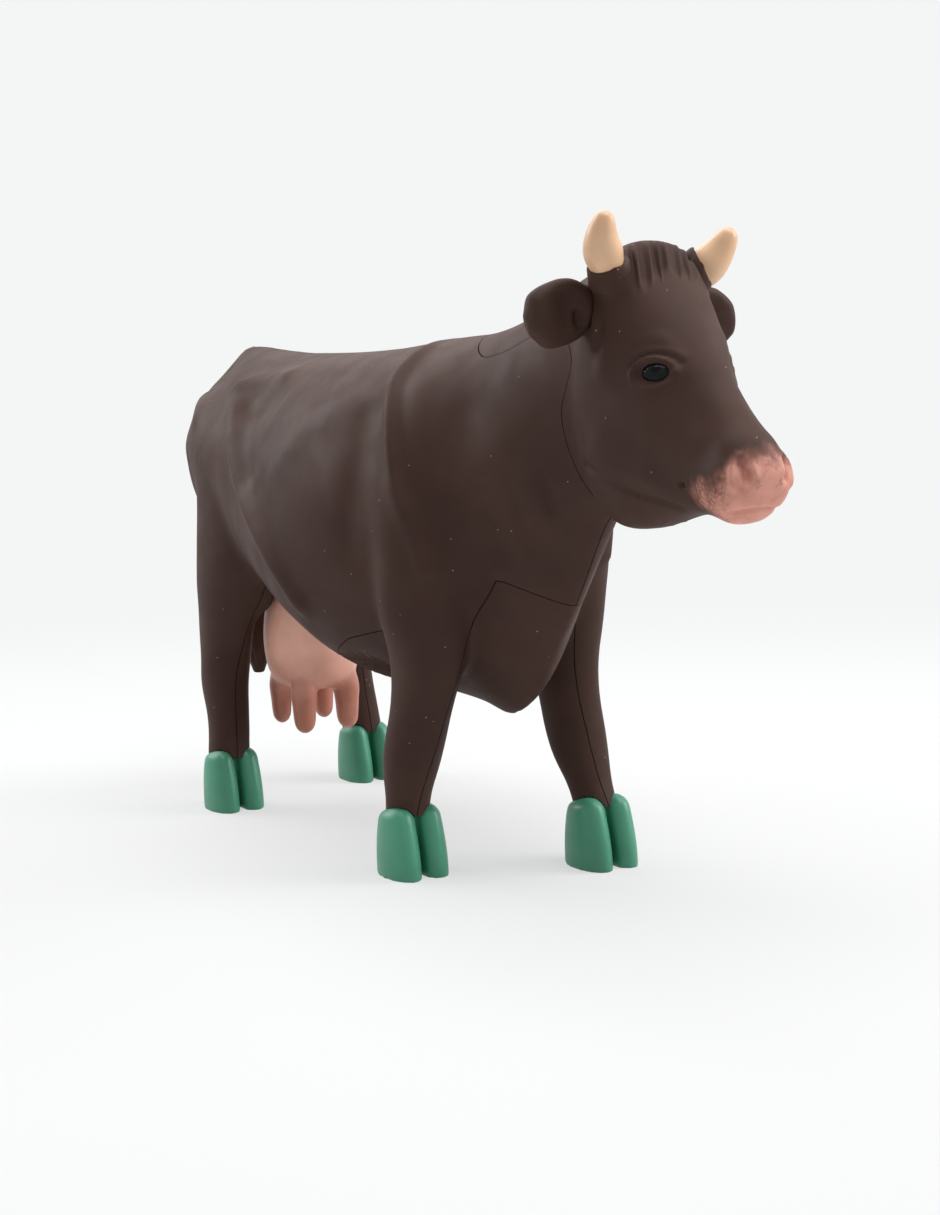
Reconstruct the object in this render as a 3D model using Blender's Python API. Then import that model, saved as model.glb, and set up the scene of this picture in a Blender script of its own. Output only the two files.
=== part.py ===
"""Toy cow figure: moulded body shells, head, horns, ears, eyes, udder, hooves and tail.

The figure faces +X, its left side is +Y, and its soles stand on z = 0.
All sizes are in metres. Tables hold shares of the named sizes they follow.
"""
import bmesh
import bpy
import math
import numpy as np
from mathutils import Vector

# Driving sizes of the figure
BODY_LENGTH = 0.1245
BACK_HEIGHT = 0.0795
BARREL_WIDTH = 0.0470
HEAD_LENGTH = 0.0365
HEAD_HEIGHT = 0.0370
HEAD_WIDTH = 0.0172
HEAD_SET_SHARE = 0.670

# Legs and stance
FRONT_TRACK = 0.0256
HIND_TRACK = 0.0306
FRONT_LEG_DEPTH = 0.0070
FRONT_LEG_WIDTH = 0.0068
HIND_LEG_DEPTH = 0.0080
HIND_LEG_WIDTH = 0.0074
FRONT_STEP = 0.0064
HIND_STEP = 0.0039
CORONET_HEIGHT = 0.0090

# Moulding
SHELL_WALL = 0.0020
SEAM_GAP = 0.0003
SKIN_VOXEL = 0.0012
SKIN_PASSES = 6
JOIN_DISTANCE = 0.0000001
SKIN_DETAIL_SHARE = 0.085
CUT_MARGIN = 0.0100
SEAT_DEPTH = 0.0006

# Posts that line up the two body shells
POST_RADIUS = 0.0024
PIN_RADIUS = 0.0012
PIN_LENGTH = 0.0030
PIN_SLACK = 0.0002

# Crest and neck collar
CREST_HALF_WIDTH = 0.0078
CREST_DEPTH = 0.0016
NECK_REACH = 0.0045

# Small pieces
HOOF_SOLE_LENGTH = 0.0104
HOOF_SOLE_WIDTH = 0.0092
CLEFT_WIDTH = 0.0010
CLAW_DOME = 0.0016
CLAW_OVERLAP = 0.0003
HOOF_PEG_RADIUS = 0.0015
HOOF_PEG_LENGTH = 0.0040
HORN_BASE_RADIUS = 0.0024
HORN_PEG_RADIUS = 0.0013
HORN_PEG_LENGTH = 0.0030
EAR_HEIGHT = 0.0085
EAR_THICKNESS = 0.0046
EAR_PEG_RADIUS = 0.0012
EAR_PEG_LENGTH = 0.0030
EYE_RADIUS = 0.0017
NOSTRIL_RADIUS = 0.0012
UDDER_LENGTH = 0.0190
UDDER_WIDTH = 0.0166
UDDER_DEPTH = 0.0206
TEAT_RADIUS = 0.0018
TEAT_LENGTH = 0.0104
TEAT_TRACK = 0.0084
TEAT_PITCH = 0.0095
TAIL_RADIUS = 0.0021

# Places worked out from the driving sizes; the box from tail to muzzle is centred on x = 0
MUZZLE_END_SHARE = 0.931
TAIL_PROUD_SHARE = 0.430
REAR_X = (TAIL_PROUD_SHARE * TAIL_RADIUS - BODY_LENGTH - MUZZLE_END_SHARE * HEAD_LENGTH) / 2
HEAD_X = REAR_X + BODY_LENGTH
HEAD_Z = HEAD_SET_SHARE * BACK_HEIGHT

# Points round a trunk or head section, a hollow, a leg section and the small pieces
SECTION_POINTS = 40
HOLLOW_POINTS = 16
LEG_POINTS = 24
UDDER_POINTS = 20
LIMB_POINTS = 12
PEG_POINTS = 8
BEAD_RINGS = 6

# Trunk stations from tail to neck: top x, top z, bottom x, bottom z, half width,
# height of the widest place, and how square the upper and lower halves are
TRUNK_SHARES = [
    (0.018, 0.925, 0.024, 0.805, 0.100, 0.50, 1.80, 2.00),
    (0.026, 0.985, 0.032, 0.717, 0.300, 0.46, 1.50, 2.00),
    (0.052, 1.020, 0.056, 0.629, 0.490, 0.48, 1.40, 2.00),
    (0.100, 1.026, 0.100, 0.553, 0.655, 0.52, 1.40, 2.00),
    (0.181, 1.012, 0.181, 0.497, 0.760, 0.56, 1.60, 2.10),
    (0.269, 1.000, 0.269, 0.465, 0.815, 0.58, 1.75, 2.10),
    (0.357, 0.995, 0.357, 0.430, 0.877, 0.50, 1.90, 2.10),
    (0.454, 0.992, 0.454, 0.382, 0.962, 0.46, 2.00, 2.10),
    (0.558, 0.993, 0.558, 0.333, 0.996, 0.46, 2.00, 2.00),
    (0.655, 1.000, 0.655, 0.327, 0.928, 0.48, 2.00, 1.75),
    (0.727, 1.006, 0.731, 0.312, 0.817, 0.50, 2.00, 1.30),
    (0.783, 1.008, 0.785, 0.300, 0.698, 0.54, 2.00, 1.25),
    (0.831, 1.017, 0.843, 0.352, 0.570, 0.58, 2.00, 1.30),
    (0.876, 1.033, 0.886, 0.440, 0.480, 0.58, 2.00, 1.30),
    (0.920, 1.056, 0.925, 0.520, 0.425, 0.58, 2.00, 1.30),
    (0.964, 1.081, 0.958, 0.598, 0.380, 0.58, 2.00, 1.40),
    (1.004, 1.100, 0.990, 0.672, 0.350, 0.56, 2.00, 1.60),
    (1.040, 1.104, 1.036, 0.730, 0.310, 0.52, 2.00, 2.00),
    (1.064, 1.069, 1.060, 0.792, 0.213, 0.52, 2.00, 2.00),
]

# Head stations from skull to muzzle, laid out the same way in the head's own box
HEAD_SHARES = [
    (0.123, 0.905, 0.016, 0.397, 0.721, 0.52, 2.30, 2.00),
    (0.215, 0.986, -0.003, 0.222, 0.930, 0.56, 2.60, 2.20),
    (0.300, 0.995, 0.038, 0.070, 1.000, 0.58, 2.80, 2.30),
    (0.392, 0.885, 0.126, 0.000, 1.000, 0.60, 2.60, 2.30),
    (0.470, 0.775, 0.236, -0.004, 0.950, 0.62, 2.30, 2.20),
    (0.552, 0.655, 0.351, 0.010, 0.850, 0.62, 2.10, 2.10),
    (0.632, 0.549, 0.460, 0.038, 0.730, 0.58, 2.00, 2.10),
    (0.716, 0.455, 0.570, 0.060, 0.640, 0.52, 2.00, 2.10),
    (0.792, 0.380, 0.665, 0.052, 0.600, 0.50, 2.00, 2.20),
    (0.858, 0.318, 0.755, 0.030, 0.600, 0.50, 2.10, 2.20),
    (0.900, 0.262, 0.825, 0.055, 0.550, 0.50, 2.20, 2.30),
    (0.926, 0.208, 0.888, 0.105, 0.400, 0.50, 2.20, 2.20),
]

# Leg stations: height, fore-aft place, distance from the middle, depth and width.
# Heights follow the back, places the body length, the rest the leg's own sizes.
FRONT_LEG_SHARES = [
    (0.070, 0.749, 1.00, 1.00, 1.00),
    (0.117, 0.749, 1.00, 1.00, 1.00),
    (0.156, 0.745, 1.00, 1.05, 1.05),
    (0.201, 0.741, 0.99, 1.28, 1.25),
    (0.252, 0.741, 0.98, 1.46, 1.32),
    (0.314, 0.744, 0.96, 1.56, 1.30),
    (0.377, 0.747, 0.94, 1.82, 1.38),
    (0.478, 0.749, 0.90, 2.40, 1.70),
    (0.591, 0.741, 0.86, 2.75, 2.20),
    (0.717, 0.729, 0.80, 2.65, 2.65),
    (0.830, 0.716, 0.72, 2.10, 2.20),
    (0.906, 0.707, 0.62, 1.20, 1.30),
]
HIND_LEG_SHARES = [
    (0.070, 0.176, 1.00, 1.00, 1.00),
    (0.117, 0.176, 1.00, 1.00, 1.00),
    (0.189, 0.170, 0.95, 1.00, 1.00),
    (0.270, 0.153, 0.90, 1.38, 1.08),
    (0.327, 0.159, 0.88, 1.50, 1.12),
    (0.390, 0.170, 0.88, 1.70, 1.18),
    (0.465, 0.195, 0.88, 2.05, 1.34),
    (0.566, 0.225, 0.86, 2.70, 1.60),
    (0.679, 0.239, 0.80, 3.20, 1.80),
    (0.792, 0.228, 0.73, 3.40, 1.80),
    (0.881, 0.220, 0.62, 3.00, 1.50),
    (0.943, 0.215, 0.50, 2.00, 1.00),
]

# How high a stride reaches up the leg, and how it fades there
FRONT_STRIDE_SHARES = (0.40, 1.3)
HIND_STRIDE_SHARES = (0.48, 0.6)

# Swells and hollows of the sides: radius, height, then points along the stroke.
# Radius and height follow the barrel width, points the body length and back height.
SIDE_STROKE_SHARES = [
    (0.034, 0.024, [(0.262, 0.930), (0.300, 0.938), (0.340, 0.942), (0.390, 0.945)]),
    (0.050, 0.012, [(0.390, 0.945), (0.450, 0.955), (0.540, 0.972)]),
    (0.036, 0.030, [(0.272, 0.915), (0.312, 0.865), (0.355, 0.800), (0.397, 0.745), (0.437, 0.695),
                    (0.480, 0.645), (0.518, 0.595), (0.545, 0.550), (0.562, 0.510)]),
    (0.070, -0.022, [(0.335, 0.890), (0.370, 0.885), (0.420, 0.895)]),
    (0.060, -0.012, [(0.355, 0.865), (0.395, 0.800), (0.430, 0.750)]),
    (0.070, 0.010, [(0.530, 0.785), (0.561, 0.825), (0.613, 0.871), (0.660, 0.898), (0.691, 0.912)]),
    (0.060, -0.012, [(0.690, 0.860), (0.700, 0.760), (0.690, 0.620)]),
    (0.090, 0.022, [(0.760, 0.900), (0.772, 0.800), (0.778, 0.700), (0.765, 0.600), (0.740, 0.500)]),
    (0.026, 0.014, [(0.700, 0.990), (0.713, 0.930), (0.741, 0.857), (0.757, 0.805), (0.773, 0.732),
                    (0.794, 0.660), (0.808, 0.590)]),
    (0.080, -0.016, [(0.850, 0.860), (0.850, 0.740), (0.860, 0.640)]),
    (0.060, -0.044, [(0.060, 0.985), (0.090, 0.965), (0.120, 0.955)]),
    (0.060, 0.026, [(0.110, 0.905), (0.150, 0.880)]),
    (0.060, -0.014, [(0.120, 0.760), (0.130, 0.700)]),
]

# Swells and hollows of the head: cheek, jaw crease, temple, brow and the hollow before the eye.
# Radius and height follow the head width, points are places in the head's box on both sides.
HEAD_STROKE_SHARES = [
    (0.150, -0.030, [(0.600, 0.300, 0.470), (0.660, 0.290, 0.380), (0.720, 0.290, 0.300)]),
    (0.150, -0.014, [(0.400, 0.420, 0.560), (0.330, 0.470, 0.640)]),
    (0.060, 0.024, [(0.440, 0.330, 0.640), (0.500, 0.290, 0.655), (0.570, 0.240, 0.620)]),
    (0.140, 0.038, [(0.240, 0.480, 0.330), (0.330, 0.470, 0.270), (0.440, 0.440, 0.240)]),
    (0.055, -0.032, [(0.080, 0.470, 0.300), (0.180, 0.470, 0.225), (0.300, 0.440, 0.190),
                     (0.430, 0.400, 0.165)]),
]

# Horns, ears and eyes: places in the head's box. The left horn and ear, at 1, sit lower
# than the right ones, at -1, as they do on the real figure.
HORN_ROOT_SHARES = (0.266, 0.36, 0.845)
HORN_SEAT_SHARES = (0.300, 0.42, 0.905)
HORN_TIP_SHARES = {-1: (0.384, 0.570, 1.084), 1: (0.380, 0.590, 1.034)}
HORN_TAPER_SHARES = (0.96, 0.96, 0.93, 0.88, 0.82, 0.75, 0.66, 0.53, 0.30)
HORN_BEND_SHARE = 0.07
COLLAR_RADIUS_SHARE = 1.20
EAR_ROOT_SHARES = {-1: (0.205, 0.42, 0.792), 1: (0.205, 0.42, 0.762)}
EAR_TIP_SHARES = {-1: (0.150, 0.95, 0.730), 1: (0.150, 0.91, 0.700)}
EAR_OUTLINE_SHARES = (0.46, 0.70, 0.90, 1.00, 1.00, 0.96, 0.82, 0.46)
EAR_SCOOP_SHARES = (0.62, 0.40, 0.27, 0.30)
EYE_SHARES = (0.497, 0.275, 0.560)

# Nostrils, and where the muzzle's paint starts on the bridge and under the chin
NOSTRIL_SHARES = (0.874, 0.185, 0.225)
MUZZLE_PAINT_SHARES = [(0.860, 0.290), (0.600, 0.060)]

# Colour, roughness and metallic value of each plastic
FINISHES = {
    "brown_plastic": ((0.058, 0.037, 0.031), 0.50, 0.0),
    "pink_paint": ((0.560, 0.255, 0.205), 0.55, 0.0),
    "cream_plastic": ((0.780, 0.560, 0.360), 0.45, 0.0),
    "teal_plastic": ((0.050, 0.250, 0.150), 0.45, 0.0),
    "eye_enamel": ((0.020, 0.028, 0.030), 0.15, 0.0),
}
SMOOTH_BELOW_DEGREES = 40
FLAT_WITHIN_DEGREES = 1

# Udder stations: height, length and width; teat taper from top to tip
UDDER_PLACE_SHARES = (0.237, 0.515)
UDDER_SHARES = [
    (0.00, 0.34, 0.34),
    (0.03, 0.62, 0.62),
    (0.10, 0.84, 0.84),
    (0.22, 0.96, 0.95),
    (0.45, 1.00, 1.00),
    (0.70, 0.97, 0.92),
    (0.86, 0.86, 0.80),
    (1.00, 0.80, 0.72),
]
TEAT_SHARES = [(0.00, 1.25), (0.30, 1.02), (0.70, 0.98), (0.88, 0.84), (0.97, 0.55), (1.00, 0.25)]

# Tail: place along the body, sideways, height, and thickness from root to tuft
TAIL_SHARES = [
    (0.062, 0.000, 0.965, 0.90),
    (0.034, 0.000, 0.958, 0.92),
    (0.014, 0.000, 0.925, 0.86),
    (0.005, 0.000, 0.865, 0.74),
    (0.006, -0.002, 0.780, 0.66),
    (0.016, -0.008, 0.680, 0.62),
    (0.030, -0.016, 0.590, 0.70),
    (0.044, -0.024, 0.510, 0.90),
    (0.055, -0.030, 0.440, 1.12),
    (0.062, -0.033, 0.375, 1.24),
    (0.066, -0.035, 0.315, 1.10),
    (0.067, -0.036, 0.262, 0.46),
]

# Claw stations up to the coronet, then over the dome: height, length, width and
# how far the middle lies forward of the leg
CLAW_SHARES = [
    (0.00, 1.00, 1.00, 0.110),
    (0.30, 0.98, 1.00, 0.100),
    (0.60, 0.90, 0.97, 0.085),
    (0.85, 0.80, 0.90, 0.075),
]
DOME_SHARES = [
    (0.00, 0.70, 0.84, 0.080),
    (0.45, 0.56, 0.68, 0.110),
    (0.80, 0.36, 0.44, 0.140),
    (1.00, 0.12, 0.16, 0.160),
]
CLEFT_REACH_SHARE = 0.30

# Seam of the head on the side view, in the head's box, from the nape to the throat
HEAD_SEAM_SHARES = [
    (0.150, 1.200), (0.110, 1.000), (0.060, 0.850), (0.033, 0.700), (0.076, 0.600),
    (0.045, 0.510), (0.005, 0.430), (-0.008, 0.330), (0.005, 0.180), (0.040, 0.030), (0.050, -0.250),
]

# Core of the underside between the leg halves: place along the body, half widths at
# the ground, the knee and the top, then the heights of knee and top
UNDERSIDE_FRONT_SHARES = [
    (1.064, 1.17, 0.84, 0.76, 0.314, 0.415),
    (0.867, 1.17, 0.84, 0.625, 0.314, 0.566),
    (0.730, 1.17, 0.84, 0.60, 0.314, 0.600),
    (0.640, 1.17, 0.84, 0.66, 0.314, 0.560),
]
UNDERSIDE_HIND_SHARES = [
    (0.400, 0.95, 0.72, 0.62, 0.314, 0.530),
    (0.310, 1.10, 0.89, 0.64, 0.314, 0.545),
    (-0.080, 1.10, 0.89, 0.64, 0.314, 0.545),
]
# The belly pan's edge on the side view, in body length and back height
BELLY_PAN_SHARES = [(0.683, 0.220), (0.683, 0.462), (0.620, 0.440), (0.550, 0.396), (0.430, 0.320)]

# The crest on the neck: rear end, front end past the head seam, and lower edge
CREST_REAR_SHARE = 0.790
CREST_FRONT_SHARE = 1.060
CREST_LOW_SHARE = 0.620

# Posts across the hollow body, in body length and back height
POST_SHARES = [(0.150, 0.870), (0.400, 0.880), (0.720, 0.850), (0.420, 0.620)]

# Stations of the trunk where the thin body wall ends and the neck collar starts
HOLLOW_STATIONS = (2, 16)
COLLAR_STATION = 11
HEAD_HOLLOW_STATIONS = (2, 10)


def body_point(share_x, y, share_z):
    """A point given by shares of the body length and back height."""
    return Vector((REAR_X + share_x * BODY_LENGTH, y, share_z * BACK_HEIGHT))


def head_point(shares, side):
    """A point in the head's box; its y share is of the head width."""
    share_x, share_y, share_z = shares
    return Vector((HEAD_X + share_x * HEAD_LENGTH, side * share_y * HEAD_WIDTH,
                   HEAD_Z + share_z * HEAD_HEIGHT))


def clear_scene():
    for thing in list(bpy.data.objects):
        bpy.data.objects.remove(thing, do_unlink=True)


def smooth_rows(rows, steps):
    """More rows between the given ones, on a smooth curve through them."""
    table = np.array(rows, dtype=float)
    last = len(table) - 1
    result = []
    for index in range(last):
        before = table[max(index - 1, 0)]
        start, end = table[index], table[index + 1]
        after = table[min(index + 2, last)]
        for step in range(steps):
            t = step / steps
            tangent_in = (end - before) / 2
            tangent_out = (after - start) / 2
            result.append((2 * t**3 - 3 * t**2 + 1) * start + (t**3 - 2 * t**2 + t) * tangent_in
                          + (3 * t**2 - 2 * t**3) * end + (t**3 - t**2) * tangent_out)
    result.append(table[last])
    return result


def mesh_object(name, points, faces):
    mesh = bpy.data.meshes.new(name)
    mesh.from_pydata([tuple(point) for point in points], [], faces)
    mesh.update()
    thing = bpy.data.objects.new(name, mesh)
    bpy.context.collection.objects.link(thing)
    return thing


def loft(name, rings):
    """A closed skin over rings of equal count, with a face on each end."""
    count = len(rings[0])
    points = [point for ring in rings for point in ring]
    faces = []
    for level in range(len(rings) - 1):
        low, high = level * count, (level + 1) * count
        for index in range(count):
            following = (index + 1) % count
            faces.append((low + index, low + following, high + following, high + index))
    faces.append(tuple(reversed(range(count))))
    top = (len(rings) - 1) * count
    faces.append(tuple(range(top, top + count)))
    thing = mesh_object(name, points, faces)
    face_outward(thing)
    return thing


def face_outward(thing):
    """Turn the faces outward if the skin encloses a negative volume."""
    volume = 0.0
    mesh = thing.data
    for face in mesh.polygons:
        first = mesh.vertices[face.vertices[0]].co
        for index in range(1, len(face.vertices) - 1):
            second = mesh.vertices[face.vertices[index]].co
            third = mesh.vertices[face.vertices[index + 1]].co
            volume += first.dot(second.cross(third))
    if volume < 0:
        mesh.flip_normals()


def span_ring(top, bottom, half_width, widest, crown, keel, inset=0.0, count=SECTION_POINTS):
    """A section between a top and a bottom point, drawn in by inset all round."""
    span = top - bottom
    direction = span.normalized()
    low = bottom + direction * inset
    high = top - direction * inset
    middle = low + (high - low) * widest
    reach = half_width - inset
    ring = []
    for index in range(count):
        angle = 2 * math.pi * index / count
        sine, cosine = math.sin(angle), math.cos(angle)
        power = crown if cosine >= 0 else keel
        side = math.copysign(abs(sine) ** (2 / power), sine)
        rise = abs(cosine) ** (2 / power)
        end = high if cosine >= 0 else low
        ring.append(middle + (end - middle) * rise + Vector((0, reach * side, 0)))
    return ring


def trunk_rings(rows, inset=0.0, count=SECTION_POINTS):
    rings = []
    for x_top, z_top, x_low, z_low, half, widest, crown, keel in rows:
        rings.append(span_ring(body_point(x_top, 0, z_top), body_point(x_low, 0, z_low),
                               half * BARREL_WIDTH / 2, widest, crown, keel, inset, count))
    return rings


def head_rings(rows, inset=0.0, count=SECTION_POINTS):
    rings = []
    for x_top, z_top, x_low, z_low, half, widest, crown, keel in rows:
        rings.append(span_ring(head_point((x_top, 0, z_top), 1), head_point((x_low, 0, z_low), 1),
                               half * HEAD_WIDTH / 2, widest, crown, keel, inset, count))
    return rings


def level_ring(centre, half_depth, half_width, count=LEG_POINTS):
    ring = []
    for index in range(count):
        angle = 2 * math.pi * index / count
        ring.append(centre + Vector((half_depth * math.cos(angle), half_width * math.sin(angle), 0)))
    return ring


def stride(height, step, reach_and_fade):
    """How far a leg is carried forward at a height."""
    reach_share, fade = reach_and_fade
    reach = reach_share * BACK_HEIGHT
    return step * min(max((reach - height) / (reach - CORONET_HEIGHT), 0.0), 1.0) ** fade


def leg_skin(name, rows, track, depth, width, side, step, reach_and_fade):
    rings = []
    for share_z, share_x, spread, deep, wide in smooth_rows(rows, 2):
        centre = body_point(share_x, side * spread * track / 2, share_z)
        centre.x += stride(centre.z, step, reach_and_fade)
        rings.append(level_ring(centre, deep * depth / 2, wide * width / 2))
    return loft(name, rings)


SIDES = {"right": -1, "left": 1}
LEGS = {
    "front_right": (FRONT_LEG_SHARES, FRONT_TRACK, FRONT_LEG_DEPTH, FRONT_LEG_WIDTH,
                    -1, -FRONT_STEP, FRONT_STRIDE_SHARES),
    "front_left": (FRONT_LEG_SHARES, FRONT_TRACK, FRONT_LEG_DEPTH, FRONT_LEG_WIDTH,
                   1, FRONT_STEP, FRONT_STRIDE_SHARES),
    "hind_right": (HIND_LEG_SHARES, HIND_TRACK, HIND_LEG_DEPTH, HIND_LEG_WIDTH,
                   -1, HIND_STEP, HIND_STRIDE_SHARES),
    "hind_left": (HIND_LEG_SHARES, HIND_TRACK, HIND_LEG_DEPTH, HIND_LEG_WIDTH,
                  1, -HIND_STEP, HIND_STRIDE_SHARES),
}


def bake(thing):
    """Keep what the object's modifiers make and drop the modifiers."""
    bpy.context.view_layer.update()
    graph = bpy.context.evaluated_depsgraph_get()
    mesh = bpy.data.meshes.new_from_object(thing.evaluated_get(graph))
    thing.modifiers.clear()
    thing.data = mesh
    return thing


def facet(thing):
    """Turn the faces into sound triangles, without doubled or thinned-out ones."""
    work = bmesh.new()
    work.from_mesh(thing.data)
    bmesh.ops.remove_doubles(work, verts=work.verts[:], dist=JOIN_DISTANCE)
    bmesh.ops.dissolve_degenerate(work, edges=work.edges[:], dist=JOIN_DISTANCE)
    bmesh.ops.triangulate(work, faces=work.faces[:])
    work.to_mesh(thing.data)
    work.free()


def combine(target, other, operation):
    """Cut, join or intersect the target with another object, which is used up."""
    facet(target)
    facet(other)
    modifier = target.modifiers.new(operation.lower(), "BOOLEAN")
    modifier.operation = operation
    modifier.object = other
    modifier.solver = "EXACT"
    bake(target)
    bpy.data.objects.remove(other, do_unlink=True)
    return target


def join(first, *others):
    """One body from several that overlap."""
    for other in others:
        combine(first, other, "UNION")
    return first


def copy_of(thing, name):
    twin = bpy.data.objects.new(name, thing.data.copy())
    bpy.context.collection.objects.link(twin)
    return twin


def gather(name, things):
    """One mesh from several, which may still pass through each other."""
    points, faces = [], []
    for thing in things:
        start = len(points)
        points.extend(vertex.co.copy() for vertex in thing.data.vertices)
        faces.extend(tuple(start + index for index in face.vertices) for face in thing.data.polygons)
        bpy.data.objects.remove(thing, do_unlink=True)
    return mesh_object(name, points, faces)


def melt(thing, voxel, passes):
    """Melt overlapping forms into one soft skin."""
    remesh = thing.modifiers.new("melt", "REMESH")
    remesh.mode = "VOXEL"
    remesh.voxel_size = voxel
    soften = thing.modifiers.new("soften", "SMOOTH")
    soften.factor = 0.5
    soften.iterations = passes
    return bake(thing)


def thin_out(thing, share):
    decimate = thing.modifiers.new("thin", "DECIMATE")
    decimate.ratio = share
    return bake(thing)


def skin_arrays(thing):
    """Places and normals of a skin's points, as rows of numbers."""
    mesh = thing.data
    count = len(mesh.vertices)
    places = np.empty(count * 3)
    normals = np.empty(count * 3)
    mesh.vertices.foreach_get("co", places)
    mesh.vertices.foreach_get("normal", normals)
    return places.reshape(count, 3), normals.reshape(count, 3)


def push_out(thing, places, offsets):
    thing.data.vertices.foreach_set("co", (places + offsets).ravel())
    thing.data.update()


def fall_off(points, route, radius):
    """One on a route of straight stretches, falling softly to zero beside it."""
    nearest = np.full(len(points), np.inf)
    for start, end in zip(route, route[1:]):
        run = end - start
        along = np.clip(((points - start) @ run) / (run @ run), 0, 1)
        nearest = np.minimum(nearest, np.linalg.norm(points - start - along[:, None] * run, axis=1))
    return np.exp(-(nearest / radius) ** 2)


def side_strokes(thing, strokes):
    """Raise or sink soft strokes that are drawn on the side view."""
    places, normals = skin_arrays(thing)
    facing = np.abs(normals[:, 1])
    push = np.zeros(len(places))
    for radius, height, route in strokes:
        line = [np.array(body_point(share_x, 0, share_z))[[0, 2]] for share_x, share_z in route]
        fall = fall_off(places[:, [0, 2]], line, radius * BARREL_WIDTH)
        push += fall * facing * height * BARREL_WIDTH
    push_out(thing, places, normals * push[:, None])


def head_strokes(thing, strokes):
    """Raise or sink soft strokes at places in the head's box, on both sides."""
    places, normals = skin_arrays(thing)
    push = np.zeros(len(places))
    for radius, height, route in strokes:
        for side in SIDES.values():
            line = [np.array(head_point(shares, side)) for shares in route]
            push += fall_off(places, line, radius * HEAD_WIDTH) * height * HEAD_WIDTH
    push_out(thing, places, normals * push[:, None])


def tube(name, path, radii, flat=1.0, count=LIMB_POINTS):
    """A limb along a path; flat scales its thickness in the forward direction."""
    rings = []
    first = path[1] - path[0]
    across = Vector((0, 0, 1)) if abs(first.x) > abs(first.z) + abs(first.y) else Vector((1, 0, 0))
    for index, point in enumerate(path):
        along = (path[min(index + 1, len(path) - 1)] - path[max(index - 1, 0)]).normalized()
        across = (across - along * across.dot(along)).normalized()
        lift = along.cross(across)
        ring = []
        for corner in range(count):
            angle = 2 * math.pi * corner / count
            ring.append(point + across * (radii[index] * flat * math.cos(angle))
                        + lift * (radii[index] * math.sin(angle)))
        rings.append(ring)
    return loft(name, rings)


def rod(name, start, end, radius, count=PEG_POINTS):
    return tube(name, [start, end], [radius, radius], 1.0, count)


def ball(name, centre, radii):
    """A rounded bead, made of level rings between two poles."""
    levels = []
    for index in range(BEAD_RINGS):
        angle = math.pi * (index + 0.5) / BEAD_RINGS
        spread = math.sin(angle)
        middle = centre + Vector((0, 0, -radii.z * math.cos(angle)))
        levels.append(level_ring(middle, radii.x * spread, radii.y * spread, LIMB_POINTS))
    return loft(name, levels)


def block(name, low, high):
    floor = [Vector((x, y, low.z)) for x, y in ((low.x, low.y), (high.x, low.y),
                                                (high.x, high.y), (low.x, high.y))]
    return loft(name, [floor, [Vector((point.x, point.y, high.z)) for point in floor]])


def side_prism(name, outline, half_width):
    """An outline drawn on the side view, run through from side to side."""
    near = [Vector((point.x, -half_width, point.z)) for point in outline]
    far = [Vector((point.x, half_width, point.z)) for point in outline]
    return loft(name, [near, far])


def extended(rings, reach):
    """Carry the last section straight forward."""
    return rings + [[point + Vector((reach, 0, 0)) for point in rings[-1]]]


def neck_core(name, inset, reach):
    """The neck's inside form, carried forward into the head."""
    rows = TRUNK_SHARES[COLLAR_STATION:HOLLOW_STATIONS[1] + 1]
    return loft(name, extended(trunk_rings(rows, inset, HOLLOW_POINTS), reach))


def post_rods(name, radius, right_reach, left_reach):
    """A rod at every post, from its reach on the right to its reach on the left."""
    rods = []
    for share_x, share_z in POST_SHARES:
        middle = body_point(share_x, 0, share_z)
        right_end = middle - Vector((0, right_reach, 0))
        left_end = middle + Vector((0, left_reach, 0))
        rods.append(rod("rod", right_end, left_end, radius))
    return gather(name, rods)


def body_hollow():
    """The space inside the body shells, with the posts left standing."""
    start, end = HOLLOW_STATIONS
    thin = trunk_rings(TRUNK_SHARES[start:COLLAR_STATION], SHELL_WALL, HOLLOW_POINTS)
    thick = trunk_rings(TRUNK_SHARES[COLLAR_STATION:end + 1], 2 * SHELL_WALL + SEAM_GAP, HOLLOW_POINTS)
    hollow = loft("hollow", extended(thin + thick, NECK_REACH + CUT_MARGIN))
    return combine(hollow, post_rods("posts", POST_RADIUS, BARREL_WIDTH, BARREL_WIDTH), "DIFFERENCE")


def head_hollow():
    """The space inside the head, with the socket that the neck's collar enters."""
    start, end = HEAD_HOLLOW_STATIONS
    hollow = loft("head_hollow", head_rings(HEAD_SHARES[start:end], SHELL_WALL, HOLLOW_POINTS))
    return join(hollow, neck_core("socket", SHELL_WALL, NECK_REACH + SEAM_GAP))


def head_zone(grow):
    """Everything ahead of the head seam."""
    seam = [head_point((share_x, 0, share_z), 1) - Vector((grow, 0, 0))
            for share_x, share_z in HEAD_SEAM_SHARES]
    ahead = Vector((HEAD_X + HEAD_LENGTH + CUT_MARGIN, 0, 0))
    outline = seam + [Vector((ahead.x, 0, seam[-1].z)), Vector((ahead.x, 0, seam[0].z))]
    return side_prism("head_zone", outline, BARREL_WIDTH)


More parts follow.
